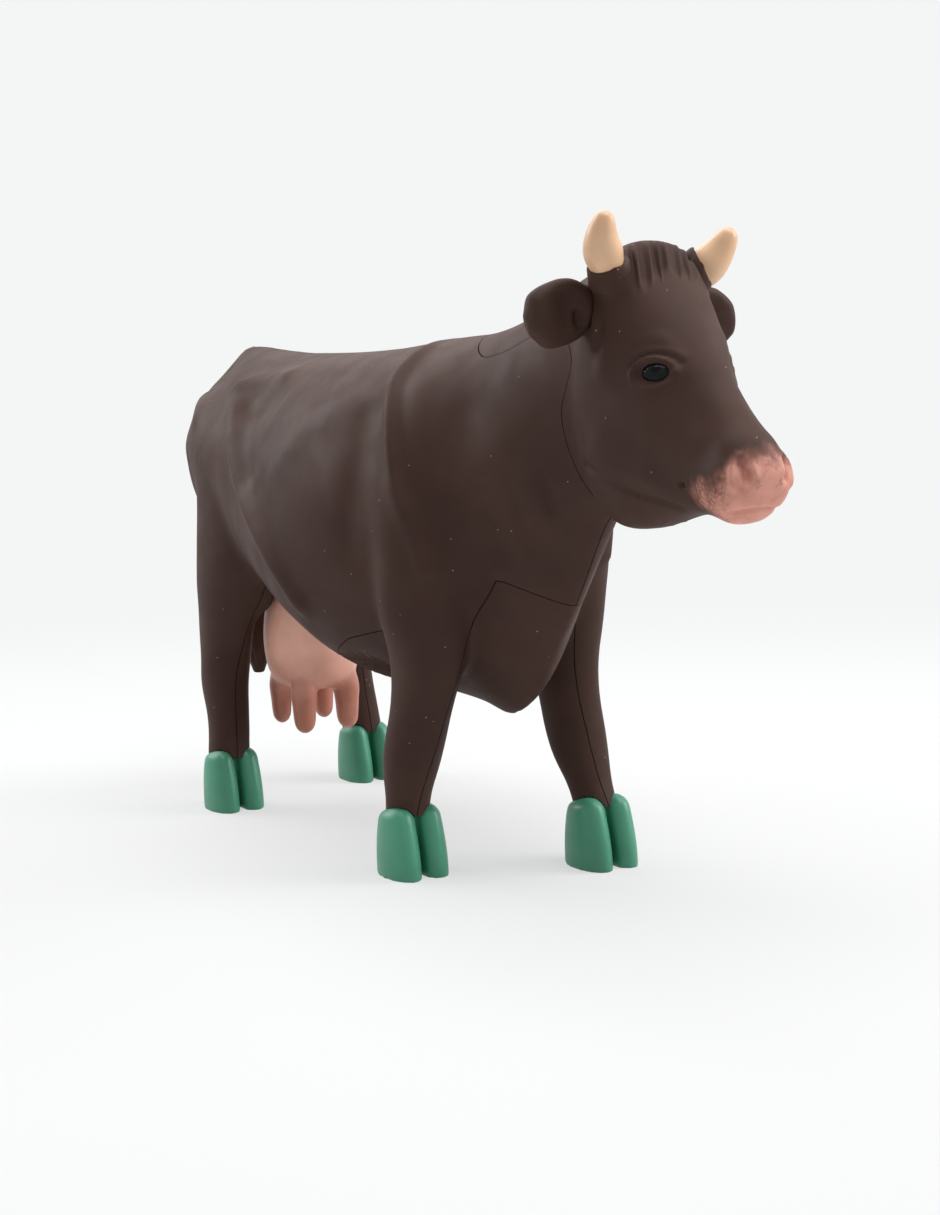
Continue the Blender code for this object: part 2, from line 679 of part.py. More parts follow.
def underside_zone(grow):
    """The chest, belly and inner leg halves, as a core between the legs and a belly pan."""
    rings = []
    rows = ([(row, FRONT_TRACK) for row in UNDERSIDE_FRONT_SHARES]
            + [(row, HIND_TRACK) for row in UNDERSIDE_HIND_SHARES])
    for (share_x, ground, knee, top, knee_z, top_z), track in rows:
        x = REAR_X + share_x * BODY_LENGTH
        levels = [(ground * track / 2 + grow, -CUT_MARGIN / 2),
                  (knee * track / 2 + grow, knee_z * BACK_HEIGHT),
                  (top * track / 2 + grow, top_z * BACK_HEIGHT + grow)]
        ring = [Vector((x, half, z)) for half, z in levels]
        ring += [Vector((x, -half, z)) for half, z in reversed(levels)]
        rings.append(ring)
    core = loft("underside_zone", rings)
    rim = [body_point(share_x, 0, share_z) for share_x, share_z in BELLY_PAN_SHARES]
    outline = [rim[0] + Vector((grow, 0, 0)), rim[1] + Vector((grow, 0, grow))]
    outline += [point + Vector((0, 0, grow)) for point in rim[2:]]
    outline.append(Vector((rim[-1].x, 0, rim[0].z)))
    return combine(core, side_prism("pan", outline, BARREL_WIDTH), "UNION")


def crest_zone(grow):
    """A tongue on top of the neck, down to the crest's depth."""
    half = CREST_HALF_WIDTH + grow
    centre_x = REAR_X + CREST_REAR_SHARE * BODY_LENGTH + CREST_HALF_WIDTH
    front_x = REAR_X + CREST_FRONT_SHARE * BODY_LENGTH
    outline = [Vector((front_x, -half, 0))]
    steps = SECTION_POINTS // 2
    for index in range(steps + 1):
        angle = math.pi * index / steps
        outline.append(Vector((centre_x - half * math.sin(angle), -half * math.cos(angle), 0)))
    outline.append(Vector((front_x, half, 0)))
    low = Vector((0, 0, HEAD_Z + CREST_LOW_SHARE * HEAD_HEIGHT - grow))
    high = Vector((0, 0, HEAD_Z + HEAD_HEIGHT + CUT_MARGIN))
    tongue = loft("tongue", [[point + low for point in outline], [point + high for point in outline]])
    return combine(tongue, neck_core("neck", CREST_DEPTH + grow, NECK_REACH), "DIFFERENCE")


def horn(name, side, grow=0.0):
    seat, tip = head_point(HORN_SEAT_SHARES, side), head_point(HORN_TIP_SHARES[side], side)
    run = tip - seat
    foot = seat - run.normalized() * SEAT_DEPTH
    path, radii = [], []
    for index, share in enumerate(HORN_TAPER_SHARES):
        along = index / (len(HORN_TAPER_SHARES) - 1)
        bend = side * HORN_BEND_SHARE * run.length * math.sin(math.pi * along)
        path.append(foot + (tip - foot) * along + Vector((0, bend, 0)))
        radii.append(share * HORN_BASE_RADIUS + grow)
    path[0] = path[0] - run.normalized() * grow
    return tube(name, path, radii)


def peg(start, direction, radius, length, grow=0.0):
    """A round peg that starts inside its piece and stands out of it."""
    direction = direction.normalized()
    return rod("peg", start + direction * length, start - direction * (length + grow), radius + grow)


def ear(name, side, grow=0.0):
    root, tip = head_point(EAR_ROOT_SHARES[side], side), head_point(EAR_TIP_SHARES[side], side)
    path, radii = [], []
    for index, share in enumerate(EAR_OUTLINE_SHARES):
        along = index / (len(EAR_OUTLINE_SHARES) - 1)
        path.append(root + (tip - root) * along)
        radii.append(share * EAR_HEIGHT / 2 + grow)
    return tube(name, path, radii, EAR_THICKNESS / EAR_HEIGHT)


def horn_peg(side, grow=0.0):
    seat, tip = head_point(HORN_SEAT_SHARES, side), head_point(HORN_TIP_SHARES[side], side)
    return peg(seat, seat - tip, HORN_PEG_RADIUS, HORN_PEG_LENGTH, grow)


def ear_peg(side, grow=0.0):
    root, tip = head_point(EAR_ROOT_SHARES[side], side), head_point(EAR_TIP_SHARES[side], side)
    return peg(root, root - tip, EAR_PEG_RADIUS, EAR_PEG_LENGTH, grow)


def ear_scoop(side):
    """The hollow in the front of the ear."""
    root, tip = head_point(EAR_ROOT_SHARES[side], side), head_point(EAR_TIP_SHARES[side], side)
    forward, along, long_share, high_share = EAR_SCOOP_SHARES
    centre = root + (tip - root) * along + Vector((forward * EAR_THICKNESS, 0, 0))
    return ball("scoop", centre, Vector((EAR_THICKNESS * forward / 2, (tip - root).length * long_share,
                                         EAR_HEIGHT * high_share)))


def eye(name, side, grow=0.0):
    radius = EYE_RADIUS + grow
    return ball(name, head_point(EYE_SHARES, side), Vector((radius, radius, radius)))


def head_sockets():
    """What the head gives up to its horns, ears and eyes, and the nostrils."""
    cuts = []
    for side in SIDES.values():
        cuts.append(join(horn("seats", side, SEAM_GAP), horn_peg(side, SEAM_GAP),
                         ear("seat", side, SEAM_GAP), ear_peg(side, SEAM_GAP)))
        cuts.append(eye("seat", side, SEAM_GAP))
        bead = Vector((NOSTRIL_RADIUS, NOSTRIL_RADIUS, NOSTRIL_RADIUS))
        cuts.append(ball("nostril", head_point(NOSTRIL_SHARES, side), bead))
    return gather("sockets", cuts)


def udder_bag(name, grow=0.0):
    share_x, share_z = UDDER_PLACE_SHARES
    top = body_point(share_x, 0, share_z)
    rings = []
    for height, long_share, wide_share in UDDER_SHARES:
        centre = top - Vector((0, 0, UDDER_DEPTH * (1 - height)))
        rings.append(level_ring(centre, long_share * UDDER_LENGTH / 2 + grow,
                                wide_share * UDDER_WIDTH / 2 + grow, UDDER_POINTS))
    return loft(name, rings)


def teat(forward, side):
    share_x, share_z = UDDER_PLACE_SHARES
    floor_z = share_z * BACK_HEIGHT - UDDER_DEPTH
    top = Vector((REAR_X + share_x * BODY_LENGTH + forward * TEAT_PITCH / 2,
                  side * TEAT_TRACK / 2, floor_z + TEAT_LENGTH / 3))
    path = [top - Vector((0, 0, share * TEAT_LENGTH)) for share, _ in TEAT_SHARES]
    return tube("teat", path, [share * TEAT_RADIUS for _, share in TEAT_SHARES])


def tail_skin(name, grow=0.0):
    path = [body_point(x, y * BARREL_WIDTH, z) for x, y, z, _ in TAIL_SHARES]
    return tube(name, path, [thick * TAIL_RADIUS + grow for _, _, _, thick in TAIL_SHARES])


def foot_place(name):
    """Where a leg meets the ground, under its coronet."""
    rows, track, _, _, side, step, _ = LEGS[name]
    _, share_x, spread, _, _ = rows[1]
    place = body_point(share_x, side * spread * track / 2, 0)
    return place + Vector((step, 0, 0))


def claw(place, side, grow=0.0):
    """One toe of a cloven hoof, from its flat sole to the dome at the coronet."""
    rows = [(share * CORONET_HEIGHT, *rest) for share, *rest in CLAW_SHARES]
    rows += [(CORONET_HEIGHT + share * CLAW_DOME, *rest) for share, *rest in DOME_SHARES]
    rings = []
    for height, long_share, wide_share, lean in rows:
        centre = place + Vector((lean * HOOF_SOLE_LENGTH, side * HOOF_SOLE_WIDTH / 4, height))
        rings.append(level_ring(centre, long_share * HOOF_SOLE_LENGTH / 2 + grow,
                                wide_share * (HOOF_SOLE_WIDTH / 4 + CLAW_OVERLAP) + grow, LIMB_POINTS))
    rings[-1] = [point + Vector((0, 0, grow)) for point in rings[-1]]
    return loft("claw", rings)


def hoof_skin(name, place, grow=0.0):
    """A cloven hoof: two toes that run into each other at the heel."""
    skin = claw(place, 1, grow)
    skin.name = name
    return combine(skin, claw(place, -1, grow), "UNION")


def cleft(place):
    """The slot between the two claws, open to the front and the sole."""
    low = Vector((place.x + (HOOF_SOLE_LENGTH / 2) * (1 - 2 * CLEFT_REACH_SHARE),
                  place.y - CLEFT_WIDTH / 2, -CUT_MARGIN))
    high = Vector((place.x + HOOF_SOLE_LENGTH, place.y + CLEFT_WIDTH / 2,
                   CORONET_HEIGHT + 2 * CLAW_DOME))
    return block("cleft", low, high)


def hoof_peg(place, grow=0.0):
    start = place + Vector((0, 0, CORONET_HEIGHT - SEAT_DEPTH))
    return peg(start, Vector((0, 0, -1)), HOOF_PEG_RADIUS, HOOF_PEG_LENGTH, grow)


def hoof(name, leg_name):
    place = foot_place(leg_name)
    thing = hoof_skin(name, place)
    combine(thing, cleft(place), "DIFFERENCE")
    return combine(thing, hoof_peg(place), "UNION")


def hoof_seat(leg_name):
    """What a leg gives up to its hoof: the end, the claw domes and the peg's hole."""
    place = foot_place(leg_name)
    seat = hoof_skin("seat", place, SEAM_GAP)
    reach = Vector((HOOF_SOLE_LENGTH, HOOF_SOLE_LENGTH, 0))
    below = block("below", place - reach - Vector((0, 0, CUT_MARGIN)),
                  place + reach + Vector((0, 0, CORONET_HEIGHT + SEAM_GAP)))
    combine(seat, below, "UNION")
    return combine(seat, hoof_peg(place, SEAM_GAP), "UNION")


def body_rooms():
    """What the body gives up to its hollow, the udder, the tail and the hooves."""
    inner = join(body_hollow(), udder_bag("groin", SEAM_GAP), tail_skin("groove", SEAM_GAP))
    return gather("rooms", [inner] + [hoof_seat(leg_name) for leg_name in LEGS])


def flatten(thing):
    """Join faces that lie in one plane, then split them again into few triangles."""
    work = bmesh.new()
    work.from_mesh(thing.data)
    bmesh.ops.dissolve_limit(work, angle_limit=math.radians(FLAT_WITHIN_DEGREES), verts=work.verts[:],
                             edges=work.edges[:], delimit={"MATERIAL"})
    bmesh.ops.triangulate(work, faces=work.faces[:])
    work.to_mesh(thing.data)
    work.free()


def finish(thing, *words):
    """Give the object its plastics and smooth shading."""
    for word in words:
        material = bpy.data.materials.get(word) or bpy.data.materials.new(word)
        colour, roughness, metallic = FINISHES[word]
        material.use_nodes = True
        shader = material.node_tree.nodes["Principled BSDF"]
        shader.inputs["Base Color"].default_value = (*colour, 1)
        shader.inputs["Roughness"].default_value = roughness
        shader.inputs["Metallic"].default_value = metallic
        thing.data.materials.append(material)
    flatten(thing)
    thing.data.shade_smooth()
    thing.data.set_sharp_from_angle(angle=math.radians(SMOOTH_BELOW_DEGREES))


def paint_muzzle(thing):
    """Score the paint's edge round the muzzle and give what lies ahead the second colour."""
    bridge, chin = [head_point((share_x, 0, share_z), 1) for share_x, share_z in MUZZLE_PAINT_SHARES]
    ahead = (bridge - chin).cross(Vector((0, -1, 0))).normalized()
    work = bmesh.new()
    work.from_mesh(thing.data)
    bmesh.ops.bisect_plane(work, geom=work.verts[:] + work.edges[:] + work.faces[:],
                           plane_co=bridge, plane_no=ahead, dist=JOIN_DISTANCE)
    bmesh.ops.triangulate(work, faces=work.faces[:])
    for face in work.faces:
        face.material_index = int((face.calc_center_median() - bridge).dot(ahead) > 0)
    work.to_mesh(thing.data)
    work.free()


clear_scene()

# The whole figure's outer skin, melted from trunk, skull, legs and horn collars
forms = [loft("trunk", trunk_rings(smooth_rows(TRUNK_SHARES, 3))),
         loft("skull", head_rings(smooth_rows(HEAD_SHARES, 3)))]
forms += [leg_skin(name, *leg) for name, leg in LEGS.items()]
for side in SIDES.values():
    forms.append(rod("collar", head_point(HORN_ROOT_SHARES, side), head_point(HORN_SEAT_SHARES, side),
                     HORN_BASE_RADIUS * COLLAR_RADIUS_SHARE, SECTION_POINTS // 2))
skin = melt(gather("skin", forms), SKIN_VOXEL, SKIN_PASSES)
side_strokes(skin, SIDE_STROKE_SHARES)
head_strokes(skin, HEAD_STROKE_SHARES)
thin_out(skin, SKIN_DETAIL_SHARE)

# Head: the skin ahead of its seam, hollow, with a socket for the neck
head = copy_of(skin, "head_shell")
combine(head, head_zone(0.0), "INTERSECT")
combine(head, head_hollow(), "DIFFERENCE")
combine(head, head_sockets(), "DIFFERENCE")
horns, ears, eyes = [], [], []
for word, side in SIDES.items():
    horns.append(join(horn("horn_" + word, side), horn_peg(side)))
    scooped = combine(ear("ear_" + word, side), ear_scoop(side), "DIFFERENCE")
    ears.append(join(scooped, ear_peg(side)))
    eyes.append(eye("eye_" + word, side))

# Body: the skin behind the head seam, with a hollow neck collar that enters the head
combine(skin, head_zone(SEAM_GAP), "DIFFERENCE")
crest = copy_of(skin, "neck_crest")
underside = copy_of(skin, "underside_shell")
combine(skin, neck_core("collar", SHELL_WALL + SEAM_GAP, NECK_REACH), "UNION")

# Crest: a tongue let into the top of the neck
combine(crest, crest_zone(0.0), "INTERSECT")
combine(skin, crest_zone(SEAM_GAP), "DIFFERENCE")

# Underside: brisket, belly and inner leg halves, with the groin open for the udder
combine(underside, underside_zone(0.0), "INTERSECT")
combine(skin, underside_zone(SEAM_GAP), "DIFFERENCE")
for shell in (skin, underside):
    combine(shell, body_rooms(), "DIFFERENCE")

# Body shells: the rest, parted on the middle, with pins on one and sockets on the other
room = Vector((BODY_LENGTH, BARREL_WIDTH, BACK_HEIGHT + HEAD_HEIGHT))
shells = {}
for word, side in SIDES.items():
    shell = copy_of(skin, "body_shell_" + word)
    near, far = side * SEAM_GAP / 2, side * room.y
    low = Vector((-room.x, min(near, far), -room.z))
    high = Vector((room.x, max(near, far), room.z))
    half = block("half", low, high)
    shells[word] = combine(shell, half, "INTERSECT")
bpy.data.objects.remove(skin, do_unlink=True)
combine(shells["right"], post_rods("pins", PIN_RADIUS, PIN_LENGTH, PIN_LENGTH), "UNION")
pin_holes = post_rods("pin_holes", PIN_RADIUS + PIN_SLACK, PIN_LENGTH, PIN_LENGTH + SEAM_GAP)
combine(shells["left"], pin_holes, "DIFFERENCE")

# Udder, hooves and tail
udder = udder_bag("udder")
for forward in (-1, 1):
    for side in SIDES.values():
        combine(udder, teat(forward, side), "UNION")
hooves = [hoof("hoof_" + leg_name, leg_name) for leg_name in LEGS]
tail = tail_skin("tail")

# Plastics and paint
for thing in (crest, underside, tail, *shells.values(), *ears):
    finish(thing, "brown_plastic")
paint_muzzle(head)
finish(head, "brown_plastic", "pink_paint")
finish(udder, "pink_paint")
for thing in horns:
    finish(thing, "cream_plastic")
for thing in hooves:
    finish(thing, "teal_plastic")
for thing in eyes:
    finish(thing, "eye_enamel")
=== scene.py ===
# %% [markdown]
# A moulded toy cow, made part by part. It is pressed from dark brown plastic in a few shells, with
# horns, ears, eyes, udder, hooves and tail as pieces of their own. A imported model already fixes every
# size and place, and this lesson gives each piece its fine shape and its finish. We start by opening
# that frame.

# %% Open the frame
import math

import bmesh
import bpy
import numpy as np
from mathutils import Matrix, Vector


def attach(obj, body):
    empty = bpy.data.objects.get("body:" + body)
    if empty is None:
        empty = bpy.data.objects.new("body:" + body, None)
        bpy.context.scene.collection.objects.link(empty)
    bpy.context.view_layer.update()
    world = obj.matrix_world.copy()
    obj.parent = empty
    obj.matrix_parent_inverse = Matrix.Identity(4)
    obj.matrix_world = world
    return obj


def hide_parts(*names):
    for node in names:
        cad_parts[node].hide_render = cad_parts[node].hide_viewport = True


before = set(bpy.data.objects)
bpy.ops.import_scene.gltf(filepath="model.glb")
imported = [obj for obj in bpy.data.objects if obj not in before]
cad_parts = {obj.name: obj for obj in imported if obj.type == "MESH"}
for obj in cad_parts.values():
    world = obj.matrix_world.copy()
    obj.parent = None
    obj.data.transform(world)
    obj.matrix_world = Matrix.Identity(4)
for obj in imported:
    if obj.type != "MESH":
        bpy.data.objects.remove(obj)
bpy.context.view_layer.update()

print("nodes in the frame:", len(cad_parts))

# %% [markdown]
# The animal is a set of stations: sections across the body, one after another. They are written in
# shares of a few driving sizes, because long tables of points would be hard to change. The figure
# looks along +X, its left side is +Y, it stands on z = 0, and the middle of its length is at x = 0.

# %% Driving sizes, in metres
MM = 0.001
BODY_LENGTH = 124.5 * MM
BACK_HEIGHT = 79.5 * MM
BARREL_WIDTH = 47.0 * MM
HEAD_LENGTH = 36.5 * MM
HEAD_HEIGHT = 37.0 * MM
HEAD_WIDTH = 17.2 * MM
FRONT_TRACK = 25.6 * MM
HIND_TRACK = 30.6 * MM
FRONT_LEG = (7.0 * MM, 6.8 * MM)
HIND_LEG = (8.0 * MM, 7.4 * MM)
FRONT_STEP = 6.4 * MM
HIND_STEP = 3.9 * MM
CORONET_HEIGHT = 9.0 * MM
TAIL_RADIUS = 2.1 * MM
WALL = 2.0 * MM
SEAM = 0.15 * MM
MARGIN = 10.0 * MM
TAIL_PROUD_SHARE = 0.430
MUZZLE_END_SHARE = 0.931
REAR_X = (TAIL_PROUD_SHARE * TAIL_RADIUS - BODY_LENGTH - MUZZLE_END_SHARE * HEAD_LENGTH) / 2
HEAD_X = REAR_X + BODY_LENGTH
HEAD_Z = 0.670 * BACK_HEIGHT
SIDES = {"right": -1, "left": 1}
AHEAD, LEFT, UP = Vector((1, 0, 0)), Vector((0, 1, 0)), Vector((0, 0, 1))
print("rump at %.2f mm, head box at %.2f mm" % (REAR_X / MM, HEAD_X / MM))

# %% Stations of the trunk, from tail to neck
# top x, top z, bottom x, bottom z, half width, widest height, roundness above and below
TRUNK_SHARES = [
    (0.018, 0.925, 0.024, 0.805, 0.100, 0.50, 1.80, 2.00),
    (0.026, 0.985, 0.032, 0.717, 0.300, 0.46, 1.50, 2.00),
    (0.052, 1.020, 0.056, 0.629, 0.490, 0.48, 1.40, 2.00),
    (0.100, 1.026, 0.100, 0.553, 0.655, 0.52, 1.40, 2.00),
    (0.181, 1.012, 0.181, 0.497, 0.760, 0.56, 1.60, 2.10),
    (0.269, 1.000, 0.269, 0.465, 0.815, 0.58, 1.75, 2.10),
    (0.357, 0.995, 0.357, 0.430, 0.877, 0.50, 1.90, 2.10),
    (0.454, 0.992, 0.454, 0.382, 0.962, 0.46, 2.00, 2.10),
    (0.558, 0.993, 0.558, 0.333, 0.996, 0.46, 2.00, 2.00),
    (0.655, 1.000, 0.655, 0.327, 0.928, 0.48, 2.00, 1.75),
    (0.727, 1.006, 0.731, 0.312, 0.817, 0.50, 2.00, 1.30),
    (0.783, 1.008, 0.785, 0.300, 0.698, 0.54, 2.00, 1.25),
    (0.831, 1.017, 0.843, 0.352, 0.570, 0.58, 2.00, 1.30),
    (0.876, 1.033, 0.886, 0.440, 0.480, 0.58, 2.00, 1.30),
    (0.920, 1.056, 0.925, 0.520, 0.425, 0.58, 2.00, 1.30),
    (0.964, 1.081, 0.958, 0.598, 0.380, 0.58, 2.00, 1.40),
    (1.004, 1.100, 0.990, 0.672, 0.350, 0.56, 2.00, 1.60),
    (1.040, 1.104, 1.036, 0.730, 0.310, 0.52, 2.00, 2.00),
    (1.064, 1.069, 1.060, 0.792, 0.213, 0.52, 2.00, 2.00),
]
COLLAR_STATION = 11
HOLLOW_STATIONS = (2, 16)

# %% Stations of the head, from skull to muzzle
HEAD_SHARES = [
    (0.123, 0.905, 0.016, 0.397, 0.721, 0.52, 2.30, 2.00),
    (0.215, 0.986, -0.003, 0.222, 0.930, 0.56, 2.60, 2.20),
    (0.300, 0.995, 0.038, 0.070, 1.000, 0.58, 2.80, 2.30),
    (0.392, 0.885, 0.126, 0.000, 1.000, 0.60, 2.60, 2.30),
    (0.470, 0.775, 0.236, -0.004, 0.950, 0.62, 2.30, 2.20),
    (0.552, 0.655, 0.351, 0.010, 0.850, 0.62, 2.10, 2.10),
    (0.632, 0.549, 0.460, 0.038, 0.730, 0.58, 2.00, 2.10),
    (0.716, 0.455, 0.570, 0.060, 0.640, 0.52, 2.00, 2.10),
    (0.792, 0.380, 0.665, 0.052, 0.600, 0.50, 2.00, 2.20),
    (0.858, 0.318, 0.755, 0.030, 0.600, 0.50, 2.10, 2.20),
    (0.892, 0.262, 0.818, 0.055, 0.540, 0.50, 2.20, 2.30),
    (0.914, 0.208, 0.878, 0.105, 0.390, 0.50, 2.20, 2.20),
]
HEAD_HOLLOW_STATIONS = (2, 10)

# %% Stations of the legs, from hoof to shoulder or hip
# height, fore-aft place, distance from the middle, depth and width
FRONT_LEG_SHARES = [
    (0.070, 0.749, 1.00, 1.00, 1.00),
    (0.117, 0.749, 1.00, 1.00, 1.00),
    (0.156, 0.745, 1.00, 1.05, 1.05),
    (0.201, 0.741, 0.99, 1.28, 1.25),
    (0.252, 0.741, 0.98, 1.46, 1.32),
    (0.314, 0.744, 0.96, 1.56, 1.30),
    (0.377, 0.747, 0.94, 1.82, 1.38),
    (0.478, 0.749, 0.90, 2.40, 1.70),
    (0.591, 0.741, 0.86, 2.75, 2.20),
    (0.717, 0.729, 0.80, 2.65, 2.65),
    (0.830, 0.716, 0.72, 2.10, 2.20),
    (0.906, 0.707, 0.62, 1.20, 1.30),
]
HIND_LEG_SHARES = [
    (0.070, 0.176, 1.00, 1.00, 1.00),
    (0.117, 0.176, 1.00, 1.00, 1.00),
    (0.189, 0.170, 0.95, 1.00, 1.00),
    (0.270, 0.153, 0.90, 1.38, 1.08),
    (0.327, 0.159, 0.88, 1.50, 1.12),
    (0.390, 0.170, 0.88, 1.70, 1.18),
    (0.465, 0.195, 0.88, 2.05, 1.34),
    (0.566, 0.225, 0.86, 2.70, 1.60),
    (0.679, 0.239, 0.80, 3.20, 1.80),
    (0.792, 0.228, 0.73, 3.40, 1.80),
    (0.881, 0.220, 0.62, 3.00, 1.50),
    (0.943, 0.215, 0.50, 2.00, 1.00),
]
FRONT_STRIDE = (0.40, 1.3)
HIND_STRIDE = (0.48, 0.6)
LEGS = {
    "front_right": (FRONT_LEG_SHARES, FRONT_TRACK, FRONT_LEG, -1, -FRONT_STEP, FRONT_STRIDE),
    "front_left": (FRONT_LEG_SHARES, FRONT_TRACK, FRONT_LEG, 1, FRONT_STEP, FRONT_STRIDE),
    "hind_right": (HIND_LEG_SHARES, HIND_TRACK, HIND_LEG, -1, HIND_STEP, HIND_STRIDE),
    "hind_left": (HIND_LEG_SHARES, HIND_TRACK, HIND_LEG, 1, -HIND_STEP, HIND_STRIDE),
}

# %% [markdown]
# Shares become points through one small function for the body and one for the head. A station
# becomes a ring of points on a squashed circle, and a loft joins rings into a skin. The same loft
# makes trunk, skull, legs, horns, teats and tail, so it is the one to learn first.

# %% From shares to points
def body_point(share_x, y, share_z):
    return Vector((REAR_X + share_x * BODY_LENGTH, y, share_z * BACK_HEIGHT))


def head_point(shares, side=1):
    share_x, share_y, share_z = shares
    return Vector((HEAD_X + share_x * HEAD_LENGTH, side * share_y * HEAD_WIDTH,
                   HEAD_Z + share_z * HEAD_HEIGHT))


def smooth_rows(rows, steps):
    """More rows between the given ones, on a smooth curve through them."""
    table = np.array(rows, dtype=float)
    last = len(table) - 1
    result = []
    for index in range(last):
        start, end = table[index], table[index + 1]
        leaving = (end - table[max(index - 1, 0)]) / 2
        arriving = (table[min(index + 2, last)] - start) / 2
        for t in (step / steps for step in range(steps)):
            eased = t * t * (3 - 2 * t)
            bowed = leaving * t * (1 - t) ** 2 - arriving * t * t * (1 - t)
            result.append(start + (end - start) * eased + bowed)
    return result + [table[last]]


# %% From points to skins
def mesh_object(name, points, faces):
    mesh = bpy.data.meshes.new(name)
    mesh.from_pydata([tuple(point) for point in points], [], faces)
    mesh.update()
    thing = bpy.data.objects.new(name, mesh)
    bpy.context.collection.objects.link(thing)
    return thing


def face_outward(thing):
    work = bmesh.new()
    work.from_mesh(thing.data)
    if work.calc_volume(signed=True) < 0:
        bmesh.ops.reverse_faces(work, faces=work.faces[:])
    work.to_mesh(thing.data)
    work.free()
    return thing


def loft(name, rings):
    """A closed skin over rings of equal count, with a face on each end."""
    count = len(rings[0])
    top = (len(rings) - 1) * count
    faces = [tuple(reversed(range(count))), tuple(range(top, top + count))]
    for low in range(0, top, count):
        high = low + count
        for index in range(count):
            following = (index + 1) % count
            faces.append((low + index, low + following, high + following, high + index))
    return face_outward(mesh_object(name, [point for ring in rings for point in ring], faces))


# %% Rings for the trunk, the head and the legs
SECTION_POINTS = 64
LIMB_POINTS = 32


def turns(count):
    """The angles of the points round a ring."""
    return [2 * math.pi * index / count for index in range(count)]


def ring_round(centre, first, second, count=LIMB_POINTS):
    """A ring round a centre, with its two half axes as arrows from there."""
    return [centre + first * math.cos(turn) + second * math.sin(turn) for turn in turns(count)]


def span_ring(top, bottom, half_width, shape, inset):
    """A section between a top and a bottom point, drawn in by inset all round."""
    widest, crown, keel = shape
    direction = (top - bottom).normalized()
    low, high = bottom + direction * inset, top - direction * inset
    middle = low + (high - low) * widest
    ring = []
    for turn in turns(SECTION_POINTS):
        sine, cosine = math.sin(turn), math.cos(turn)
        end, power = (high, crown) if cosine >= 0 else (low, keel)
        side = math.copysign(abs(sine) ** (2 / power), sine)
        rise = abs(cosine) ** (2 / power)
        ring.append(middle + (end - middle) * rise + LEFT * (half_width - inset) * side)
    return ring


def section_rings(rows, place, width, inset):
    return [span_ring(place((x_top, 0, z_top)), place((x_low, 0, z_low)), half * width / 2, shape, inset)
            for x_top, z_top, x_low, z_low, half, *shape in rows]


def trunk_rings(rows, inset=0.0):
    return section_rings(rows, lambda shares: body_point(*shares), BARREL_WIDTH, inset)


def head_rings(rows, inset=0.0):
    return section_rings(rows, head_point, HEAD_WIDTH, inset)


def leg_skin(name, rows, track, thickness, side, step, stride):
    """A leg whose foot is carried forward by a step, which fades out up to the stride's height."""
    reach_share, fade = stride
    reach = reach_share * BACK_HEIGHT
    rings = []
    for share_z, share_x, spread, deep, wide in smooth_rows(rows, 3):
        centre = body_point(share_x, side * spread * track / 2, share_z)
        centre.x += step * min(max((reach - centre.z) / (reach - CORONET_HEIGHT), 0.0), 1.0) ** fade
        rings.append(ring_round(centre, AHEAD * deep * thickness[0] / 2, LEFT * wide * thickness[1] / 2))
    return loft(name, rings)


# %% [markdown]
# Round limbs follow a path instead of a straight axis. The ring must not twist on the way, so each
# new ring takes over the sideways direction of the last one, made square to the path again.

# %% Limbs, balls and blocks
def tube(name, path, radii, flat=1.0):
    """A limb along a path; flat scales its thickness in the forward direction."""
    first = path[1] - path[0]
    across = UP if abs(first.x) > abs(first.z) + abs(first.y) else AHEAD
    rings = []
    for index, (point, radius) in enumerate(zip(path, radii)):
        along = (path[min(index + 1, len(path) - 1)] - path[max(index - 1, 0)]).normalized()
        across = (across - along * across.dot(along)).normalized()
        rings.append(ring_round(point, across * radius * flat, along.cross(across) * radius))
    return loft(name, rings)


def ball(name, centre, radii, levels=20):
    rings = []
    for index in range(levels):
        angle = math.pi * (index + 0.5) / levels
        wide = math.sin(angle)
        rings.append(ring_round(centre - UP * radii.z * math.cos(angle), AHEAD * radii.x * wide,
                                LEFT * radii.y * wide))
    return loft(name, rings)


def prism(name, outline, low, high):
    """An outline carried from one offset to another."""
    return loft(name, [[point + low for point in outline], [point + high for point in outline]])


def block(name, low, high):
    corners = ((low.x, low.y), (high.x, low.y), (high.x, high.y), (low.x, high.y))
    return prism(name, [Vector((x, y, 0)) for x, y in corners], UP * low.z, UP * high.z)


def side_prism(name, outline):
    """An outline drawn on the side view, run through from side to side."""
    return prism(name, outline, LEFT * -BARREL_WIDTH, LEFT * BARREL_WIDTH)


# %% [markdown]
# A figure like this starts as one hand-carved animal. Two steps copy that: a voxel remesh melts
# overlapping lofts into one skin, and a smoothing rounds the creases between them. The shells are
# cut from it with booleans. The manifold solver suits these closed, dense skins, and it cuts them
# in a moment where the exact solver takes minutes.

# %% Melting and cutting
BODY_VOXEL = 0.60 * MM
HEAD_VOXEL = 0.30 * MM
SMALL_VOXEL = 0.26 * MM
SOFTEN_AREA = 4.3 * MM * MM


def bake(thing):
    """Keep what the object's modifiers make and drop the modifiers."""
    bpy.context.view_layer.update()
    graph = bpy.context.evaluated_depsgraph_get()
    mesh = bpy.data.meshes.new_from_object(thing.evaluated_get(graph))
    thing.modifiers.clear()
    thing.data = mesh
    return thing


def combine(target, other, operation):
    """Cut, join or intersect the target with another object, which is used up."""
    modifier = target.modifiers.new(operation.lower(), "BOOLEAN")
    modifier.operation = operation
    modifier.object = other
    modifier.solver = "MANIFOLD"
    bake(target)
    bpy.data.objects.remove(other, do_unlink=True)
    return target


def join(first, *others):
    for other in others:
        combine(first, other, "UNION")
    return first


